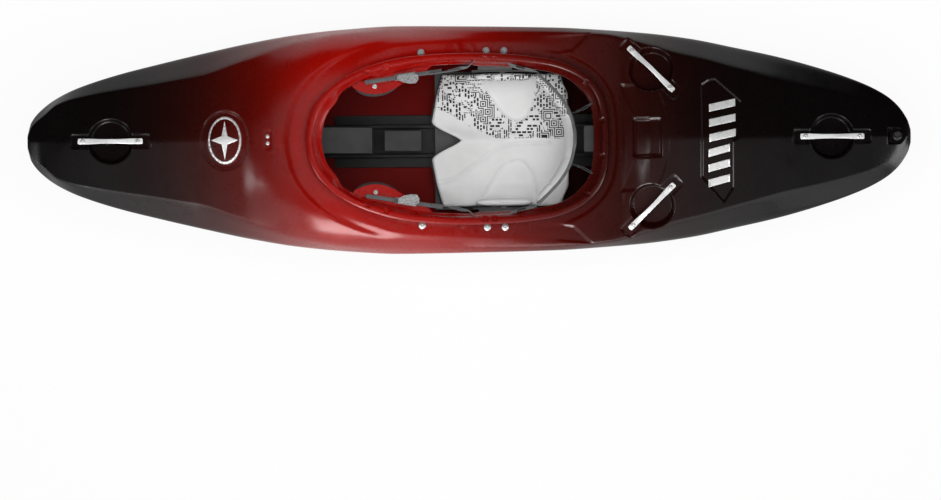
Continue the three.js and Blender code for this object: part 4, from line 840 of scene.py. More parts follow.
def coaming_profile(foot, top, reach):
    """Section of the coaming from the outer foot over the lip and down the inner wall, as (out, height)."""
    rise = top - 0.012 - foot
    return [
        (0.0125, foot - 0.002), (0.0102, foot + 0.003), (0.0098, foot + 0.25 * rise),
        (0.0130, foot + 0.60 * rise), (0.0190, top - 0.0140), (0.0225, top - 0.0118),
        (0.0305, top - 0.0116), (0.0343, top - 0.0100), (0.0350, top - 0.0072),
        (0.0338, top - 0.0042), (0.0300, top - 0.0018), (0.0250, top - 0.0003),
        (0.0210, top - 0.0006), (0.0175, top - 0.0028), (0.0145, top - 0.0070), (0.0110, top - 0.0135),
        (0.0070 - 0.4 * reach, foot + 0.50 * rise), (0.0030 - 0.7 * reach, foot + 0.24 * rise),
        (0.0008 - reach, foot + 0.002), (-reach, foot - 0.008),
    ]


def build_coaming():
    line, outward = coaming_line(COAMING_STEPS)
    crest = line + outward * (COAMING["crest_out"] - COAMING["lip_out"])
    top = coaming_top(crest[:, 0])
    foot_at = line + outward * (COAMING["foot_out"] - COAMING["lip_out"])
    foot = deck_z(foot_at[:, 0], foot_at[:, 1]) + deck_relief(foot_at[:, 0], foot_at[:, 1])
    side = ease((np.abs(line[:, 1]) - 0.15) / 0.03)
    pocket = side * (ease((line[:, 0] + 0.185) / 0.030) - ease((line[:, 0] + 0.010) / 0.040))
    corner = ease((np.abs(line[:, 1]) - 0.12) / 0.03)
    lead = corner * (ease((-0.262 - line[:, 0]) / 0.030) - ease((-0.360 - line[:, 0]) / 0.070))
    reach = 0.007 * ease((np.abs(line[:, 0] - COAMING["centre_x"]) - 0.30) / 0.08)
    late = np.arange(PROFILE_POINTS) > PROFILE_POINTS // 2
    rows = []
    for k in range(COAMING_STEPS):
        profile = smooth_curve(coaming_profile(foot[k], top[k], reach[k]), PROFILE_POINTS)
        out, z = profile[:, 0], profile[:, 1]
        wall = ease((0.022 - out) / 0.006) * ease((top[k] - 0.002 - z) / 0.006)
        out = out + wall * np.where(late, 0.0045 * pocket[k] + 0.0098 * lead[k], 0.0048 * lead[k])
        xy = line[k] + outward[k] * (out - COAMING["lip_out"])[:, None]
        rows.append(np.column_stack([xy, z]))
    grid = np.array(rows)
    for nx, ny in NOTCHES:
        for sign in (1, -1):
            k = np.argmin(np.hypot(crest[:, 0] - nx, crest[:, 1] - sign * ny))
            along = (grid[:, :, :2] - crest[k]) @ np.array([-outward[k][1], outward[k][0]])
            across = (grid[:, :, :2] - crest[k]) @ outward[k]
            share = ease((0.0068 - np.abs(along)) / 0.0016) * ease((0.0125 - np.abs(across + 0.0095)) / 0.003)
            share = np.where(late[None] & (np.abs(along) < 0.02), share, 0)
            floor = top[k] - 0.0115 - 0.35 * np.maximum(0, -across - 0.004)
            grid[:, :, 2] += np.minimum(0, floor - grid[:, :, 2]) * share
    loop = np.concatenate([grid, grid[:1]], axis=0)
    ring = grid_object("coaming", loop)
    with_bm(ring, lambda bm: bmesh.ops.remove_doubles(bm, verts=bm.verts, dist=1e-6))
    face_out(ring)
    finish(ring, shell, "shell_plastic", "hull", "cockpit_coaming")


def store_print(obj, share):
    """Stores where the printed cloth is, 1 for printed."""
    layer = obj.data.attributes.new("print", "FLOAT", "POINT")
    layer.data.foreach_set("value", np.asarray(share, np.float32))


def with_bm(obj, work):
    bm = bmesh.new()
    bm.from_mesh(obj.data)
    work(bm)
    bm.to_mesh(obj.data)
    bm.free()
    obj.data.update()


def built(name, work):
    """An object whose mesh is made by work."""
    obj = link(bpy.data.objects.new(name, bpy.data.meshes.new(name)))
    with_bm(obj, work)
    return obj


def cut(bm, point, normal):
    """Cuts every face that a plane crosses, and keeps both sides."""
    geom = bm.verts[:] + bm.edges[:] + bm.faces[:]
    bmesh.ops.bisect_plane(bm, geom=geom, plane_co=point, plane_no=normal)


def new_verts(made):
    return [v for v in made["geom"] if isinstance(v, bmesh.types.BMVert)]


def face_out(obj):
    with_bm(obj, lambda bm: bmesh.ops.recalc_face_normals(bm, faces=bm.faces))
    obj.data.shade_smooth()


def round_edges(obj, width, segments, angle):
    bevel = obj.modifiers.new("rounded edges", "BEVEL")
    bevel.width, bevel.segments = width, segments
    bevel.limit_method = "ANGLE"
    bevel.angle_limit = math.radians(angle)


# Pieces made from their CAD solids, with rounded edges
def softened(node, material, slot, body, width, segments=3, angle=28, name=None):
    obj = link(bpy.data.objects.new(name or f"{node}_form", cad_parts[node].data.copy()))

    def clean(bm):
        bmesh.ops.remove_doubles(bm, verts=bm.verts, dist=2e-5)
        bmesh.ops.dissolve_limit(bm, angle_limit=math.radians(1), verts=bm.verts, edges=bm.edges)

    with_bm(obj, clean)
    round_edges(obj, width, segments, angle)
    obj.data.shade_smooth()
    obj.data.set_sharp_from_angle(angle=math.radians(50))
    return finish(obj, material, slot, body, node)


# Lathe and bar pieces
def lathe(name, profile, matrix, steps=32):
    """A profile of (radius, height) rows turned about the matrix's third axis."""
    a = np.linspace(0, 2 * math.pi, steps, endpoint=False)
    rings = np.array([[(r * math.cos(t), r * math.sin(t), h) for t in a] for r, h in profile])
    grid = transform(rings.reshape(-1, 3), matrix).reshape(rings.shape)
    return grid_object(name, grid, wrap=True)


def screw(name, node, matrix, body, head, height, washer=0.0, material=None):
    """A pan head with a hex socket, over a washer where it has one."""
    lift = 0.0012 if washer else 0
    profile = []
    if washer:
        profile += [(washer, 0.0), (washer, lift * 0.6), (washer - 0.0006, lift)]
    h = height - lift
    profile += [(head, lift), (head * 0.99, lift + 0.35 * h), (head * 0.9, lift + 0.65 * h),
                (head * 0.70, lift + 0.9 * h), (head * 0.48, lift + h), (head * 0.40, lift + 0.97 * h),
                (head * 0.37, lift + 0.45 * h), (1e-5, lift + 0.40 * h)]
    obj = lathe(name, profile, matrix)
    face_out(obj)
    return finish(obj, material or steel, "steel", body, node)


def rounded_section(width, height, radius, corner_steps=3):
    points = []
    for cx, cy, start in ((1, 1, 0), (-1, 1, 90), (-1, -1, 180), (1, -1, 270)):
        for i in range(corner_steps + 1):
            a = math.radians(start + 90 * i / corner_steps)
            points.append((cx * (width / 2 - radius) + radius * math.cos(a),
                           cy * (height / 2 - radius) + radius * math.sin(a)))
    return np.array(points)


def closed_loft(name, grid):
    """A grid of rings with both ends filled."""
    obj = grid_object(name, grid, wrap=True)

    def cap(bm):
        edges = [e for e in bm.edges if e.is_boundary]
        bmesh.ops.holes_fill(bm, edges=edges, sides=0)

    with_bm(obj, cap)
    face_out(obj)
    obj.data.set_sharp_from_angle(angle=math.radians(55))
    return obj


def build_grabs():
    g = GRAB
    half = g["length"] / 2
    for where, place in GRAB_PLACES.items():
        m = deck_frame(*place)
        us = np.concatenate([[-half, -half + 0.0006, -half + 0.0018, -half + 0.0035],
                             np.linspace(-half + 0.006, half - 0.006, 60),
                             [half - 0.0035, half - 0.0018, half - 0.0006, half]])
        rings = []
        for u in us:
            tip = half - abs(u)
            round_off = 1 - (1 - min(1, tip / 0.004)) ** 2 if tip < 0.004 else 1
            waist = g["waist"] + (g["end_width"] - g["waist"]) * float(ease((abs(u) - 0.02) / 0.05))
            width = max(waist * (0.62 + 0.38 * math.sqrt(max(round_off, 0))), 0.004)
            bow = float(ease((half - abs(u) - g["foot"]) / (half - g["foot"])))
            under = -g["tray_depth"] + CLEAR + g["arch"] * bow
            section = rounded_section(width, g["thickness"], 0.0016)
            rings.append([(u, y, under + g["thickness"] / 2 + z) for y, z in section])
        grid = transform(np.array(rings).reshape(-1, 3), m).reshape(len(us), -1, 3)
        bar = closed_loft(f"grab_bar_{where}", grid)
        finish(bar, bar_metal, "alloy", "hull", f"grab_handle_{where}")
        for end, side in (("front", -1), ("rear", 1)):
            on_bar = -g["tray_depth"] + g["thickness"] + 2 * CLEAR
            seat = m @ Matrix.Translation((side * g["screw_span"] / 2, 0, on_bar))
            which = f"{where}_{end}"
            screw(f"grab_bolt_{which}", f"grab_screw_{which}", seat, "hull", 0.0055, 0.0034, 0.0068)


def build_deck_screws():
    for what, (x, y) in DECK_SCREWS.items():
        for side, sign in SIDES:
            node = f"deck_screw_{what}_{side}"
            low = float(deck_z(x, y)) + 0.001 + CLEAR
            place = Matrix.Translation((x, sign * y, low))
            screw(f"deck_bolt_{what}_{side}", node, place, "hull", 0.0068, 0.0045, 0.0098)
    z = float(deck_z(PAD_SPOT["x"], 0)) - PAD_SPOT["deep"]
    for side, sign in SIDES:
        place = Matrix.Translation((PAD_SPOT["x"], sign * PAD_SPOT["screw_y"], z))
        obj = screw(f"pad_bolt_{side}", "hull_shell", place, "hull", 0.0042, 0.003, 0.0052)
        del obj["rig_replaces"]


def build_side_screws():
    m = side_frame()
    for side, sign in SIDES:
        floor = Matrix.Translation((0, 0, FOOT["recess_deep"] - CLEAR))
        seat = mirror_y(m, sign) @ floor @ Matrix.Rotation(math.pi, 4, "X")
        screw(f"side_bolt_{side}", f"footrest_screw_{side}", seat, "hull", 0.0088, 0.0040)


# Seat
SEAT = {
    "pan_top": 0.0393, "half": 0.187, "notch_x": -0.032, "notch_half": 0.056, "mouth_x": -0.113,
    "notch_power": 1.4, "shoulder_x": -0.100, "shoulder_y": 0.125, "corner_x": -0.083, "rear": 0.277,
    "rear_corner_x": 0.255, "rear_turn_y": 0.120, "base": 0.026, "side_rise": 0.030, "dish": 0.013,
    "front_rise": 0.012, "ridge": 0.009, "round": 0.009, "underlay": 0.009, "inset": 0.0045,
}
ARCH_LINE = [(0.022, 0.178), (0.054, 0.127), (0.082, 0.082), (0.110, 0.058), (0.138, 0.053), (0.161, 0.066),
             (0.177, 0.102), (0.184, 0.150), (0.186, 0.180)]
SWEEP_LINE = [(-0.100, 0.121), (-0.050, 0.108), (-0.010, 0.084), (0.040, 0.046), (0.082, 0.021),
              (0.124, 0.0115), (0.222, 0.0100)]
PRINT_LINE = [(-0.120, 0.098), (-0.094, 0.091), (-0.052, 0.073), (-0.024, 0.051), (0.027, 0.026),
              (0.074, 0.006), (0.290, 0.004)]


def seat_edges(y):
    s = SEAT
    side = np.abs(y)
    turn = ease((side - s["rear_turn_y"]) / (s["half"] - s["rear_turn_y"]))
    rear = s["rear"] - (s["rear"] - s["rear_corner_x"]) * turn
    opening = np.sin(np.pi / 2 * np.clip(side / s["notch_half"], 0, 1)) ** s["notch_power"]
    notch = s["notch_x"] + (s["mouth_x"] - s["notch_x"]) * opening
    outer = (side - s["notch_half"]) / (s["half"] - s["notch_half"])
    shoulder = (s["shoulder_y"] - s["notch_half"]) / (s["half"] - s["notch_half"])
    near = s["mouth_x"] + (s["shoulder_x"] - s["mouth_x"]) * outer / shoulder
    far = s["shoulder_x"] + (s["corner_x"] - s["shoulder_x"]) * (outer - shoulder) / (1 - shoulder)
    front = np.where(side < s["notch_half"], notch, np.where(outer < shoulder, near, far))
    return front, rear


def seat_outline(inset):
    y = SEAT["half"] - inset
    q = np.linspace(-1, 1, 161)
    ys = y * np.sign(q) * np.abs(q) ** 1.6
    front, rear = seat_edges(ys)
    line = list(zip(front + inset, ys)) + list(zip(rear - inset, ys))[::-1]
    return np.array(line)


def seat_height(spread, t, x, y):
    s = SEAT
    side = np.abs(spread)
    rise = s["side_rise"] * ease((side - 0.62) / 0.38) * ease(t / 0.3)
    hollow = s["dish"] * np.exp(-((side - 0.36) / 0.26) ** 2 - ((t - 0.62) / 0.3) ** 2)
    lift = s["front_rise"] * ease((0.34 - t) / 0.34) * (1 - ease((side - 0.7) / 0.3))
    ridge = s["ridge"] * np.exp(-(spread / 0.12) ** 2) * ease((0.5 - t) / 0.4)
    height = s["base"] + rise - hollow + lift + ridge
    arch = inside_outline(x, np.abs(y), ARCH_LINE)
    to_arch = line_distance(x, np.abs(y), smooth_curve(ARCH_LINE, 60))
    height -= np.where(arch, 0.0030 * ease(to_arch / 0.010), 0)
    height += 0.0032 * np.exp(-(to_arch / 0.0040) ** 2)
    to_sweep = line_distance(x, np.abs(y), smooth_curve(SWEEP_LINE, 50))
    height += 0.0046 * np.exp(-(to_sweep / 0.0056) ** 2)
    return height


def build_seat():
    s = SEAT
    q = np.linspace(-1, 1, 171)
    spread = q * (0.5 + 0.5 * np.abs(q) ** 0.8)
    t = np.linspace(0, 1, 161)
    ys = np.repeat((spread * (s["half"] - 0.0006))[:, None], len(t), axis=1)
    front, rear = seat_edges(ys[:, 0])
    front = front + s["inset"]
    xs = front[:, None] + (rear - 0.0006 - front)[:, None] * t[None]
    spreads = np.repeat(spread[:, None], len(t), axis=1)
    ts = np.repeat(t[None], len(q), axis=0)
    height = seat_height(spreads, ts, xs, ys)
    front_line, rear_line = (np.column_stack([xs[:, k], ys[:, k]]) for k in (0, -1))
    outline = np.vstack([front_line, rear_line[::-1]])
    inward = line_distance(xs, ys, outline, closed=True)
    r = s["round"]
    height -= r - np.sqrt(np.maximum(0, r * r - (r - np.minimum(inward, r)) ** 2))
    z = s["pan_top"] + CLEAR + height
    top = np.dstack([xs, ys, z])
    base = s["pan_top"] + CLEAR + s["underlay"]
    obj = grid_object("seat_cover", top)
    with_bm(obj, lambda bm: drop_skirt(bm, base))
    face_out(obj)
    mark_print(obj)
    finish(obj, print_cover, "white_foam", "seat", "seat_pad")
    slab("seat_underlay", seat_outline(0), s["pan_top"] + CLEAR, base + 0.001, 0.0015,
         under_foam, "grey_foam", "seat", "seat_pad")


def drop_skirt(bm, base):
    edges = [e for e in bm.edges if e.is_boundary]
    made = bmesh.ops.extrude_edge_only(bm, edges=edges)
    for v in new_verts(made):
        v.co.z = base
    bmesh.ops.holes_fill(bm, edges=[e for e in bm.edges if e.is_boundary], sides=0)


def mark_print(obj):
    """Prints the starboard half outside the smooth dish."""
    co = np.array([v.co for v in obj.data.vertices], float)
    x, y = co[:, 0], co[:, 1]
    border = np.interp(x, *np.array(PRINT_LINE).T)
    dish = inside_outline(x, y, ARCH_LINE)
    store_print(obj, (y > border) & ~dish)


def slab(name, outline, low, high, radius, material, slot, body, *nodes):
    """A flat sheet of foam cut to an outline, with rounded edges."""
    def extrude(bm):
        face = bm.faces.new([bm.verts.new((x, y, low)) for x, y in outline])
        made = bmesh.ops.extrude_face_region(bm, geom=[face])
        for v in new_verts(made):
            v.co.z = high
        bmesh.ops.recalc_face_normals(bm, faces=bm.faces)

    obj = built(name, extrude)
    round_edges(obj, radius, 2, 50)
    finish(obj, material, slot, body, *nodes)
    return obj


def cushion(name, matrix, width, depth, thick, pull, corner=4.0, piping=0.0013, steps=(56, 36), oval=0.0):
    """A crowned pad whose sides draw in between the corners, with a piped seam round its middle."""
    u = np.sin(np.linspace(-1, 1, steps[0]) * math.pi / 2)
    v = np.sin(np.linspace(-1, 1, steps[1]) * math.pi / 2)
    uu, vv = np.meshgrid(u, v, indexing="ij")

    def squeeze(a):
        return 1 - 0.10 * np.abs(a) ** corner

    x = width / 2 * uu * squeeze(vv) * (1 - pull * (1 - vv**2) * np.abs(uu))
    y = depth / 2 * vv * squeeze(uu) * (1 - pull * (1 - uu**2) * np.abs(vv)) * np.sqrt(1 - oval * uu**2)
    full = np.clip((1 - np.abs(uu) ** corner) * (1 - np.abs(vv) ** corner), 0, 1) ** 0.42
    z = thick / 2 * full
    count = uu.size
    top = np.dstack([x, y, z]).reshape(-1, 3)
    low = np.dstack([x, y, -z]).reshape(-1, 3)
    rows, cols = uu.shape
    faces = []
    for i in range(rows - 1):
        for j in range(cols - 1):
            a, b, c, d = i * cols + j, i * cols + j + 1, (i + 1) * cols + j + 1, (i + 1) * cols + j
            faces.append((a, d, c, b))
            faces.append((count + a, count + b, count + c, count + d))
    rim = [(0, j) for j in range(cols)] + [(i, cols - 1) for i in range(1, rows)]
    rim += [(rows - 1, j) for j in range(cols - 2, -1, -1)] + [(i, 0) for i in range(rows - 2, 0, -1)]
    path = np.array([(x[i, j], y[i, j], 0) for i, j in rim])
    points = transform(np.vstack([top, low]), matrix)
    obj = mesh_object(name, points, faces)
    with_bm(obj, lambda bm: bmesh.ops.remove_doubles(bm, verts=bm.verts, dist=2e-5))
    face_out(obj)
    if piping:
        pipe = tube(name + "_piping", transform(path, matrix), piping, closed=True, sides=8)
        join(obj, pipe)
    return obj


def tube(name, path, radius, closed=False, sides=10):
    """A round tube along a path, without twist."""
    path = np.array(path, float)
    if closed:
        tangent = np.roll(path, -1, axis=0) - np.roll(path, 1, axis=0)
    else:
        tangent = np.gradient(path, axis=0)
    tangent /= np.maximum(np.linalg.norm(tangent, axis=1)[:, None], 1e-9)
    side = np.cross(tangent[0], [0, 0, 1])
    if np.linalg.norm(side) < 0.1:
        side = np.cross(tangent[0], [1, 0, 0])
    rings = []
    a = np.linspace(0, 2 * math.pi, sides, endpoint=False)
    for p, t in zip(path, tangent):
        side = side - t * (side @ t)
        side /= np.linalg.norm(side)
        other = np.cross(t, side)
        rings.append([p + radius * (math.cos(k) * side + math.sin(k) * other) for k in a])
    grid = np.array(rings)
    if closed:
        obj = grid_object(name, np.concatenate([grid, grid[:1]], axis=0), wrap=True)
        with_bm(obj, lambda bm: bmesh.ops.remove_doubles(bm, verts=bm.verts, dist=1e-6))
        face_out(obj)
        return obj
    return closed_loft(name, grid)


def join(obj, *others):
    """Adds the other meshes to the first one and removes their objects."""
    bm = bmesh.new()
    bm.from_mesh(obj.data)
    for other in others:
        bm.from_mesh(other.data)
    bm.to_mesh(obj.data)
    bm.free()
    for other in others:
        bpy.data.objects.remove(other)
    obj.data.update()
    obj.data.shade_smooth()
    return obj


def build_hip_pads():
    for side, sign in SIDES:
        low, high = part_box(f"hip_pad_{side}")
        centre = (low + high) / 2
        turn = frame_matrix(centre, (1, 0, 0), (0, 0, 1))
        size = high - low
        obj = cushion(f"hip_cushion_{side}", turn, size.x, size.z, size.y - 0.0004, 0.06)
        if sign > 0:
            store_print(obj, np.ones(len(obj.data.vertices)))
        finish(obj, print_cover if sign > 0 else white_cover, "white_foam", "seat", f"hip_pad_{side}")


# Strap line: thigh braces, ratchets, ladders
STRAP_FRONT, STRAP_REAR, RATCHET_X = (-0.290, 0.157, 0.355), (-0.078, 0.190, 0.300), -0.181
PLATE_TOP, PLATE_THICK, PAD_THICK = -0.0093, 0.005, 0.015


def strap_frame():
    front, rear = Vector(STRAP_FRONT), Vector(STRAP_REAR)
    along = rear - front
    origin = front.lerp(rear, (RATCHET_X - front.x) / along.x)
    return frame_matrix(origin, along, (-along.y, along.x, 0))


def build_thighs():
    place = strap_frame()
    for side, sign in SIDES:
        m = mirror_y(place, sign)
        body = f"thigh_{side}"
        softened(f"thigh_brace_{side}", shell, "shell_plastic", body, 0.0016)
        pad = m @ Matrix.Translation((-0.076, -0.0145, PLATE_TOP - PLATE_THICK - CLEAR - PAD_THICK / 2))
        obj = cushion(f"thigh_cushion_{side}", pad, 0.124, 0.054, 0.0148, 0.0, 3.0, 0.001, oval=0.9)
        finish(obj, pad_foam, "grey_foam", body, f"thigh_pad_{side}")
        top = m @ Matrix.Translation((-0.087, -0.014, PLATE_TOP + CLEAR))
        screw(f"thigh_bolt_{side}", f"thigh_screw_{side}", top, body, 0.0068, 0.0034)
        softened(f"ratchet_base_{side}", cast, "alloy", body, 0.0006, 2)
        softened(f"ratchet_lever_{side}", cast, "alloy", f"lever_{side}", 0.0012, 3)
        softened(f"ladder_strap_{side}", strap_plastic, "dark_plastic", f"ladder_{side}", 0.0005, 2)


# Webbing
WEBBING_ROUTE = [
    (-0.062, 0.1915, 0.292), (-0.038, 0.1952, 0.286), (-0.022, 0.1976, 0.285), (-0.007, 0.200, 0.289),
    (0.002, 0.207, 0.291), (0.014, 0.220, 0.289), (0.026, 0.229, 0.284), (0.054, 0.2315, 0.277),
    (0.082, 0.229, 0.272), (0.094, 0.221, 0.270), (0.106, 0.210, 0.266), (0.140, 0.197, 0.258),
    (0.168, 0.1915, 0.253), (0.187, 0.1858, 0.250), (0.1952, 0.1793, 0.250), (0.2027, 0.1723, 0.250),
]
SLOT_FRONT_X, SLOT_REAR_X = 0.014, 0.094
BUNGEE_ROUTE = [
    (0.2776, 0.070, 0.214), (0.290, 0.073, 0.211), (0.306, 0.079, 0.217), (0.324, 0.088, 0.231),
    (0.3398, 0.0982, 0.2475),
]


def strap_mesh(name, line, width, thick, lean=0.0):
    """A flat strap along a line, upright or leaning outwards by an angle at each point."""
    tangent = np.gradient(line, axis=0)
    tangent[:, 2] = 0
    tangent = unit(tangent)
    side = np.stack([-tangent[:, 1], tangent[:, 0], np.zeros(len(line))], axis=1)
    section = rounded_section(thick, width, thick * 0.45, 2)
    lean = np.broadcast_to(lean, len(line))
    up = np.array([0, 0, 1])
    rings = [[p + s * (a * math.cos(k) + b * math.sin(k)) + up * (b * math.cos(k) - a * math.sin(k))
              for a, b in section] for p, s, k in zip(line, side, lean)]
    return closed_loft(name, np.array(rings))


def stretch(obj):
    """Bakes the piece's placement into its mesh."""
    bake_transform(obj)


def build_webbing():
    line = smooth_curve(WEBBING_ROUTE, 150)
    parts = {
        "front": line[line[:, 0] <= SLOT_FRONT_X + 0.004],
        "mid": line[(line[:, 0] >= SLOT_FRONT_X) & (line[:, 0] <= SLOT_REAR_X + 0.001)],
        "rear": line[line[:, 0] >= SLOT_REAR_X - 0.002],
    }
    for side, sign in SIDES:
        node = f"webbing_{side}"
        flip = np.array([1, sign, 1])
        for which, points in parts.items():
            free = {"front": ease((0.006 - points[:, 0]) / 0.03) * ease((points[:, 0] + 0.062) / 0.04),
                    "mid": 0 * points[:, 0],
                    "rear": ease((points[:, 0] - 0.098) / 0.02) * ease((0.19 - points[:, 0]) / 0.03)}[which]
            obj = strap_mesh(f"strap_{which}_{side}", points * flip, 0.0186, 0.0022, 0.42 * sign * free)
            finish(obj, webbing, "grey_webbing", "hull" if which == "mid" else None, node)
            if which == "front":
                stretch(obj)
            if which == "rear":
                stretch(obj)
        keeper = line[(line[:, 0] > 0.128) & (line[:, 0] < 0.152)]
        obj = strap_mesh(f"strap_keeper_{side}", keeper * flip, 0.0235, 0.0062)
        finish(obj, black, "black_plastic", None, node)
        stretch(obj)


def build_bungees():
    route = smooth_curve(BUNGEE_ROUTE, 60)
    tangent = unit(np.gradient(route, axis=0))
    across = unit(np.cross(tangent, [0, 0, 1]))
    share = np.linspace(0, 1, len(route))
    spread = 0.0028 * np.sin(np.clip(share - 0.32, 0, 1) / 0.68 * math.pi) ** 0.6
    late = share >= 0.30
    aside = across * spread[:, None]
    loop = np.vstack([(route + aside)[late], (route - aside)[late][::-1]])
    for side, sign in SIDES:
        flip = np.array([1, sign, 1])
        cord = tube(f"bungee_cord_{side}", loop * flip, 0.0013, closed=True, sides=8)
        neck = tube(f"bungee_neck_{side}", route[share <= 0.34] * flip, 0.0019, sides=10)
        knot_at = route[np.argmin(np.abs(share - 0.32))]
        ring = knot_ring(knot_at, tangent[20]) * flip
        knot = tube(f"bungee_knot_{side}", ring, 0.0014, closed=True, sides=8)
        join(cord, neck, knot)
        face_out(cord)
        finish(cord, cord_web, "grey_webbing", None, f"bungee_{side}")
        stretch(cord)


def knot_ring(centre, tangent):
    """Two turns of cord wound round the neck of the loop."""
    side = unit(np.cross(tangent, [0, 0, 1]))
    other = np.cross(tangent, side)
    a = np.linspace(0, 4 * math.pi, 48, endpoint=False)
    swing = 0.0022 * np.sin(a / 2)
    around = np.cos(a)[:, None] * side + np.sin(a)[:, None] * other
    return centre + 0.0030 * around + swing[:, None] * tangent


# Backband
BAND = {
    "end_x": 0.186, "end_y": 0.182, "back_x": 0.283, "power": 2.2, "shell": 0.006, "pad": 0.017, "top": 0.274,
    "end_top": 0.262, "tab": 0.292, "tab_half": 0.026, "lean_share": 0.06, "print_y": 0.062,
}
BAND_LOW_SHARES = [[0, 0.41], [0.45, 0.44], [0.7, 0.58], [0.8, 0.7], [1, 0.74]]


def band_point(s, v, depth, tab=0.0):
    b = BAND
    side = np.abs(s)
    x = b["back_x"] - (b["back_x"] - b["end_x"]) * side ** b["power"]
    y = b["end_y"] * s
    step = 0.004
    ahead, behind = np.clip(s + step, -1, 1), np.clip(s - step, -1, 1)
    dx = -(b["back_x"] - b["end_x"]) * (np.abs(ahead) ** b["power"] - np.abs(behind) ** b["power"])
    dy = b["end_y"] * (ahead - behind)
    length = np.hypot(dx, dy)
    nx, ny = -dy / length, dx / length
    high = b["top"] + (b["end_top"] - b["top"]) * side**2
    high = high + tab * (b["tab"] - b["top"]) * ease(1.4 - side * b["end_y"] / b["tab_half"])
    low = b["top"] * share_at(BAND_LOW_SHARES, side)
    rise = (high - low) * v
    return np.stack([x + nx * depth + b["lean_share"] * rise, y + ny * depth, low + rise], axis=-1)


def build_backband():
    b = BAND
    s = np.linspace(-1, 1, 121)
    a = np.linspace(0, 2 * math.pi, 64, endpoint=False)
    v_ring = 0.5 + 0.5 * np.sign(np.sin(a)) * np.abs(np.sin(a)) ** 0.35
    d_ring = 0.5 + 0.5 * np.sign(np.cos(a)) * np.abs(np.cos(a)) ** 0.35
    depths = b["shell"] * (0.03 + 0.94 * d_ring)
    grid = np.array([[band_point(k, v, d, 1.0) for v, d in zip(v_ring, depths)] for k in s * 0.998])
    obj = closed_loft("band_shell", grid)
    finish(obj, edge_web, "dark_plastic", "backband", "backband_shell")
    top_line = band_point(s * 0.985, 1.0, b["shell"] * 0.5, 1.0)
    binding = tube("band_binding", top_line - np.array([0, 0, 0.003]), 0.0048, sides=12)
    finish(binding, edge_web, "dark_plastic", "backband", "backband_shell")
    rows = np.linspace(-1, 1, 161) * 0.985
    cols = 60
    a = np.linspace(0, 2 * math.pi, cols, endpoint=False)
    rings = []
    for k in rows:
        end = max(1 - abs(k / 0.985) ** 8, 0.0) ** 0.5
        seam = min(abs(abs(k) - 0.34), abs(abs(k) - 0.76))
        crease = 1 - 0.22 * math.exp(-(seam / 0.018) ** 2)
        v = 0.5 + 0.49 * np.sign(np.sin(a)) * np.abs(np.sin(a)) ** 0.55
        full = (0.25 + 0.75 * end) * crease
        front = np.maximum(0, np.cos(a)) ** 0.5 * np.maximum(0.12, (1 - np.abs(2 * v - 1) ** 5)) * full
        channel = 1 - 0.10 * np.exp(-((v - 0.62) / 0.03) ** 2)
        depth = b["shell"] + CLEAR + 0.0004 + (b["pad"] - 0.001) * front * channel
        rings.append([band_point(k, vv, dd) for vv, dd in zip(v, depth)])
    pad = closed_loft("band_cushion", np.array(rings))
    co = np.array([q.co for q in pad.data.vertices], float)
    store_print(pad, co[:, 1] > b["print_y"])
    finish(pad, print_cover, "white_foam", "backband", "backband_pad")


def fit_under_deck(obj):
    """Lowers a foam wall's top edge to the moulded underside of the deck."""
    low, high = (np.array(c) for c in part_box(obj.name.replace("_foam", "")))

    def fit(bm):
        for x in np.arange(low[0] + 0.012, high[0], 0.012):
            cut(bm, (x, 0, 0), (1, 0, 0))
        verts = bm.verts[:]
        x, y, z = np.array([v.co for v in verts]).T
        roof = deck_z(x, y) + deck_relief(x, y) - WALL - 0.0015
        away = coaming_distance(x, y)
        for v, limit, free in zip(verts, roof, away < -COAMING["lip_out"]):
            if not free and v.co.z > limit:
                v.co.z = float(limit)

    with_bm(obj, fit)
    obj.data.set_sharp_from_angle(angle=math.radians(50))


# Inside fittings
def build_inside():
    softened("centre_rail", black, "black_plastic", "hull", 0.0045, 4)
    for node in ("front_pillar", "centre_block", "rear_pillar"):
        obj = softened(node, grey_foam, "grey_foam", "hull", 0.0035, 3, name=f"{node}_foam")
        if node != "centre_block":
            fit_under_deck(obj)
    softened("seat_pan", dark, "dark_plastic", "seat", 0.0015, 2)
    for side, _ in SIDES:
        softened(f"hip_bracket_{side}", dark, "dark_plastic", "hull", 0.001, 2)
        softened(f"footrest_rail_{side}", alloy, "alloy", "hull", 0.0012, 2)
        softened(f"foot_plate_{side}", black, "black_plastic", f"foot_{side}", 0.0015, 2)
        pad = softened(f"foot_pad_{side}", pad_foam, "grey_foam", f"foot_{side}", 0.002, 2,
                       name=f"foot_cushion_{side}")
        screw_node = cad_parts[f"hip_screw_{side}"]
        screw_node.data.materials.clear()
        screw_node.data.materials.append(steel)
    softened("drain_plug", black, "dark_plastic", "drain_stopper", 0.0012, 3)
    softened("drain_gasket", rubber, "black_rubber", "drain_washer", 0.0004, 2)


# Generic marks where the real boat carries its names
def deck_strip(name, outline, lift, material, slot, thick=0.0008, step=0.004):
    """A thin raised shape that follows the deck."""
    outline = np.array(outline, float)
    low, high = outline.min(axis=0), outline.max(axis=0)

    def lay(bm):
        bm.faces.new([bm.verts.new((x, y, 0)) for x, y in outline])
        for axis, normal in enumerate(((1, 0, 0), (0, 1, 0))):
            for at in np.arange(low[axis] + step, high[axis], step):
                cut(bm, [at * n for n in normal], normal)
        made = bmesh.ops.extrude_face_region(bm, geom=bm.faces[:])
        top = set(new_verts(made))
        verts = bm.verts[:]
        xs, ys, _ = np.array([v.co for v in verts]).T
        zs = deck_z(xs, ys) + deck_relief(xs, ys)
        for v, z in zip(verts, zs):
            v.co.z = float(z) + (lift + thick if v in top else lift - 0.001)
        bmesh.ops.recalc_face_normals(bm, faces=bm.faces)

    return finish(built(name, lay), material, slot, "hull")


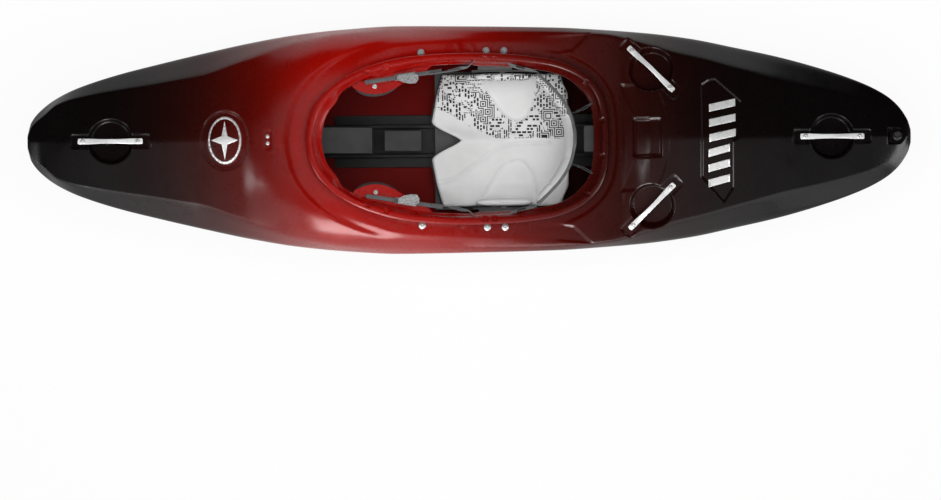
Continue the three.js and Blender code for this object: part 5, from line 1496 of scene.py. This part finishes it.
def build_marks():
    bars = []
    for k in range(6):
        y0 = -0.140 + 0.042 * k
        x0, x1 = (0.662, 0.722) if k < 3 else (0.664, 0.738)
        bars.append([(x0, y0), (x1, y0 + 0.016), (x1, y0 + 0.037), (x0, y0 + 0.021)])
    made = [deck_strip(f"plate_bar_{i}", bar, 0.0, plate_metal, "alloy") for i, bar in enumerate(bars)]
    b = BADGE

    def on_badge(share_x, share_y, turn):
        return b["x"] + share_x * b["dome_x"] * math.cos(turn), share_y * b["dome_y"] * math.sin(turn)

    for i in range(24):
        a = np.linspace(i, i + 1.02, 5) * math.pi / 12
        outer = [on_badge(0.99, 0.99, t) for t in a]
        inner = [on_badge(0.87, 0.88, t) for t in a[::-1]]
        made.append(deck_strip(f"badge_ring_{i}", outer + inner, 0.0, plate_metal, "alloy", step=0.02))
    star = []
    for k in range(8):
        t = k * math.pi / 4
        reach = 0.80 if k % 2 == 0 else 0.24
        star.append(on_badge(reach, reach, t))
    made.append(deck_strip("badge_star", star, 0.0, plate_metal, "alloy", step=0.003))
    join(*made)
    finish(made[0], plate_metal, "alloy", "hull")


def side_strip(name, corners, sign):
    """A thin raised shape on the side panel, given as (x, z) corners."""
    corners = np.array(corners, float)
    count = 24
    t = np.linspace(0, 1, count)
    low = corners[0][None] + (corners[1] - corners[0])[None] * t[:, None]
    high = corners[3][None] + (corners[2] - corners[3])[None] * t[:, None]
    rows = []
    for share in (0, 0.2, 0.4, 0.6, 0.8, 1):
        p = low + (high - low) * share
        h = hull_lines(p[:, 0])
        up = (p[:, 1] - h["knuckle"]) / (h["gunwale"] - h["knuckle"])
        y = h["knuckle_y"] + (h["half"] - h["knuckle_y"]) * up
        rows.append(np.column_stack([p[:, 0], sign * (y + 0.0005), p[:, 1]]))
    obj = grid_object(name, np.array(rows), flip=sign > 0)
    thicken = obj.modifiers.new("thickness", "SOLIDIFY")
    thicken.thickness = 0.0006
    thicken.offset = 0
    return finish(obj, white_paint, "shell_plastic", "hull")


STRIPES = {"x": -0.225, "low": 0.127, "high": 0.165, "lean": 0.022, "gap": 0.016}
STRIPE_WIDTHS = (0.085, 0.060, 0.045, 0.034, 0.026, 0.020, 0.015, 0.011, 0.008)


def build_side_marks():
    low, high, lean = STRIPES["low"], STRIPES["high"], STRIPES["lean"]
    for side, sign in SIDES:
        at = STRIPES["x"]
        for i, width in enumerate(STRIPE_WIDTHS):
            corners = [(at, low), (at + width, low), (at + width + lean, high), (at + lean, high)]
            side_strip(f"side_stripe_{i}_{side}", corners, sign)
            at += width + STRIPES["gap"]


# Stage, camera and light
def rays_that_see(n, glossy_share=1.0):
    """1 for rays that show a surface: straight, mirrored or through something clear."""
    path = n.add("ShaderNodeLightPath").outputs
    mirrored = n.math("MULTIPLY", path["Is Glossy Ray"], glossy_share)
    seen = n.math("MAXIMUM", path["Is Camera Ray"], mirrored)
    return n.math("MAXIMUM", seen, path["Is Transmission Ray"])


FLOOR = {"half": 12, "z": -0.002, "white": 0.93}
WORLD_DARK, HORIZON = (0.02, 0.02, 0.02, 1), (0.05, 0.0)


def build_stage():
    half, z = FLOOR["half"], FLOOR["z"]
    mesh = bpy.data.meshes.new("floor")
    corners = [(-half, -half, z), (half, -half, z), (half, half, z), (-half, half, z)]
    mesh.from_pydata(corners, [], [(0, 1, 2, 3)])
    floor = link(bpy.data.objects.new("floor", mesh))
    material = new_material("pale_floor", (0.86, 0.86, 0.86), 0.9, Specular_IOR_Level=0.0)
    n = Nodes(material)
    glow = n.add("ShaderNodeEmission", {"Color": (1, 1, 1, 1), "Strength": 1.0}).outputs[0]
    share = n.math("MULTIPLY", rays_that_see(n), FLOOR["white"])
    blend = n.add("ShaderNodeMixShader", {0: share, 1: n.shader.outputs[0], 2: glow}).outputs[0]
    n.tree.links.new(blend, n.tree.nodes["Material Output"].inputs["Surface"])
    floor.data.materials.append(material)


def build_world():
    """White where the camera sees it, dark in reflections from above the horizon."""
    world = bpy.data.worlds.new("studio")
    bpy.context.scene.world = world
    world.use_nodes = True
    n = Nodes(world, "Background")
    up = n.add("ShaderNodeSeparateXYZ", {0: n.coords["Generated"]}).outputs["Z"]
    n.link(n.mix(rays_that_see(n, n.span(up, *HORIZON)), WORLD_DARK, (1, 1, 1, 1)), "Color")
    n.shader.inputs["Strength"].default_value = 1.0


def area_light(name, place, target, size, size_y, level):
    """A softbox of even brightness: level is how bright its face looks, where white is 1."""
    data = bpy.data.lights.new(name, "AREA")
    data.shape = "RECTANGLE"
    data.size, data.size_y = size, size_y
    data.energy = level * math.pi * size * size_y
    light = link(bpy.data.objects.new(name, data))
    light.location = place
    light.rotation_euler = (Vector(target) - Vector(place)).to_track_quat("-Z", "Y").to_euler()
    return light


# Cards only show in reflections, softboxes only shade: place, target, width, height, brightness
CARDS = [
    ("key_card", (0.0, -1.65, 3.0), (0, 0, 0.2), 4.4, 2.2, 0.4),
    ("wide_card", (0.0, -3.2, 1.5), (0, 0, 0.3), 6.0, 2.2, 1.6),
    ("side_card", (-0.40, -2.6, 0.9), (-0.40, 0, 0.3), 1.1, 1.7, 15.0),
    ("bow_card", (-3.4, -1.6, 1.9), (-1.2, 0, 0.3), 1.4, 1.4, 9.0),
    ("stern_card", (3.4, -1.6, 1.9), (1.2, 0, 0.2), 1.4, 1.4, 9.0),
]
SOFTBOXES = [
    ("key_softbox", (0.0, -1.65, 3.0), (0, 0, 0.2), 4.4, 2.2, 4.8),
    ("top_softbox", (0.0, 0.3, 5.0), (0, 0, 0.2), 5.0, 3.0, 4.6),
]


def build_lights():
    for rows, hidden_from in ((CARDS, "visible_diffuse"), (SOFTBOXES, "visible_glossy")):
        for row in rows:
            light = area_light(*row)
            light.visible_camera = False
            setattr(light, hidden_from, False)


CAMERA = {
    "x": -0.00246, "y": -0.30919, "turn": -0.00796, "frame_width": 2.6335, "level": 0.2,
    "lens": 200, "sensor": 36,
}


def build_camera():
    c = CAMERA
    data = bpy.data.cameras.new("camera")
    data.lens = c["lens"]
    data.sensor_width = c["sensor"]
    data.clip_end = 100
    camera = link(bpy.data.objects.new("camera", data))
    camera.location = (c["x"], c["y"], c["level"] + c["lens"] / c["sensor"] * c["frame_width"])
    camera.rotation_euler = (0, 0, c["turn"])
    bpy.context.scene.camera = camera


build_camera()
build_hull()
build_coaming()
build_grabs()
build_deck_screws()
build_side_screws()
build_seat()
build_hip_pads()
build_thighs()
build_webbing()
build_bungees()
build_backband()
build_inside()
build_marks()
build_side_marks()
build_stage()
build_world()
build_lights()

scene = bpy.context.scene
scene.view_settings.view_transform = "Standard"
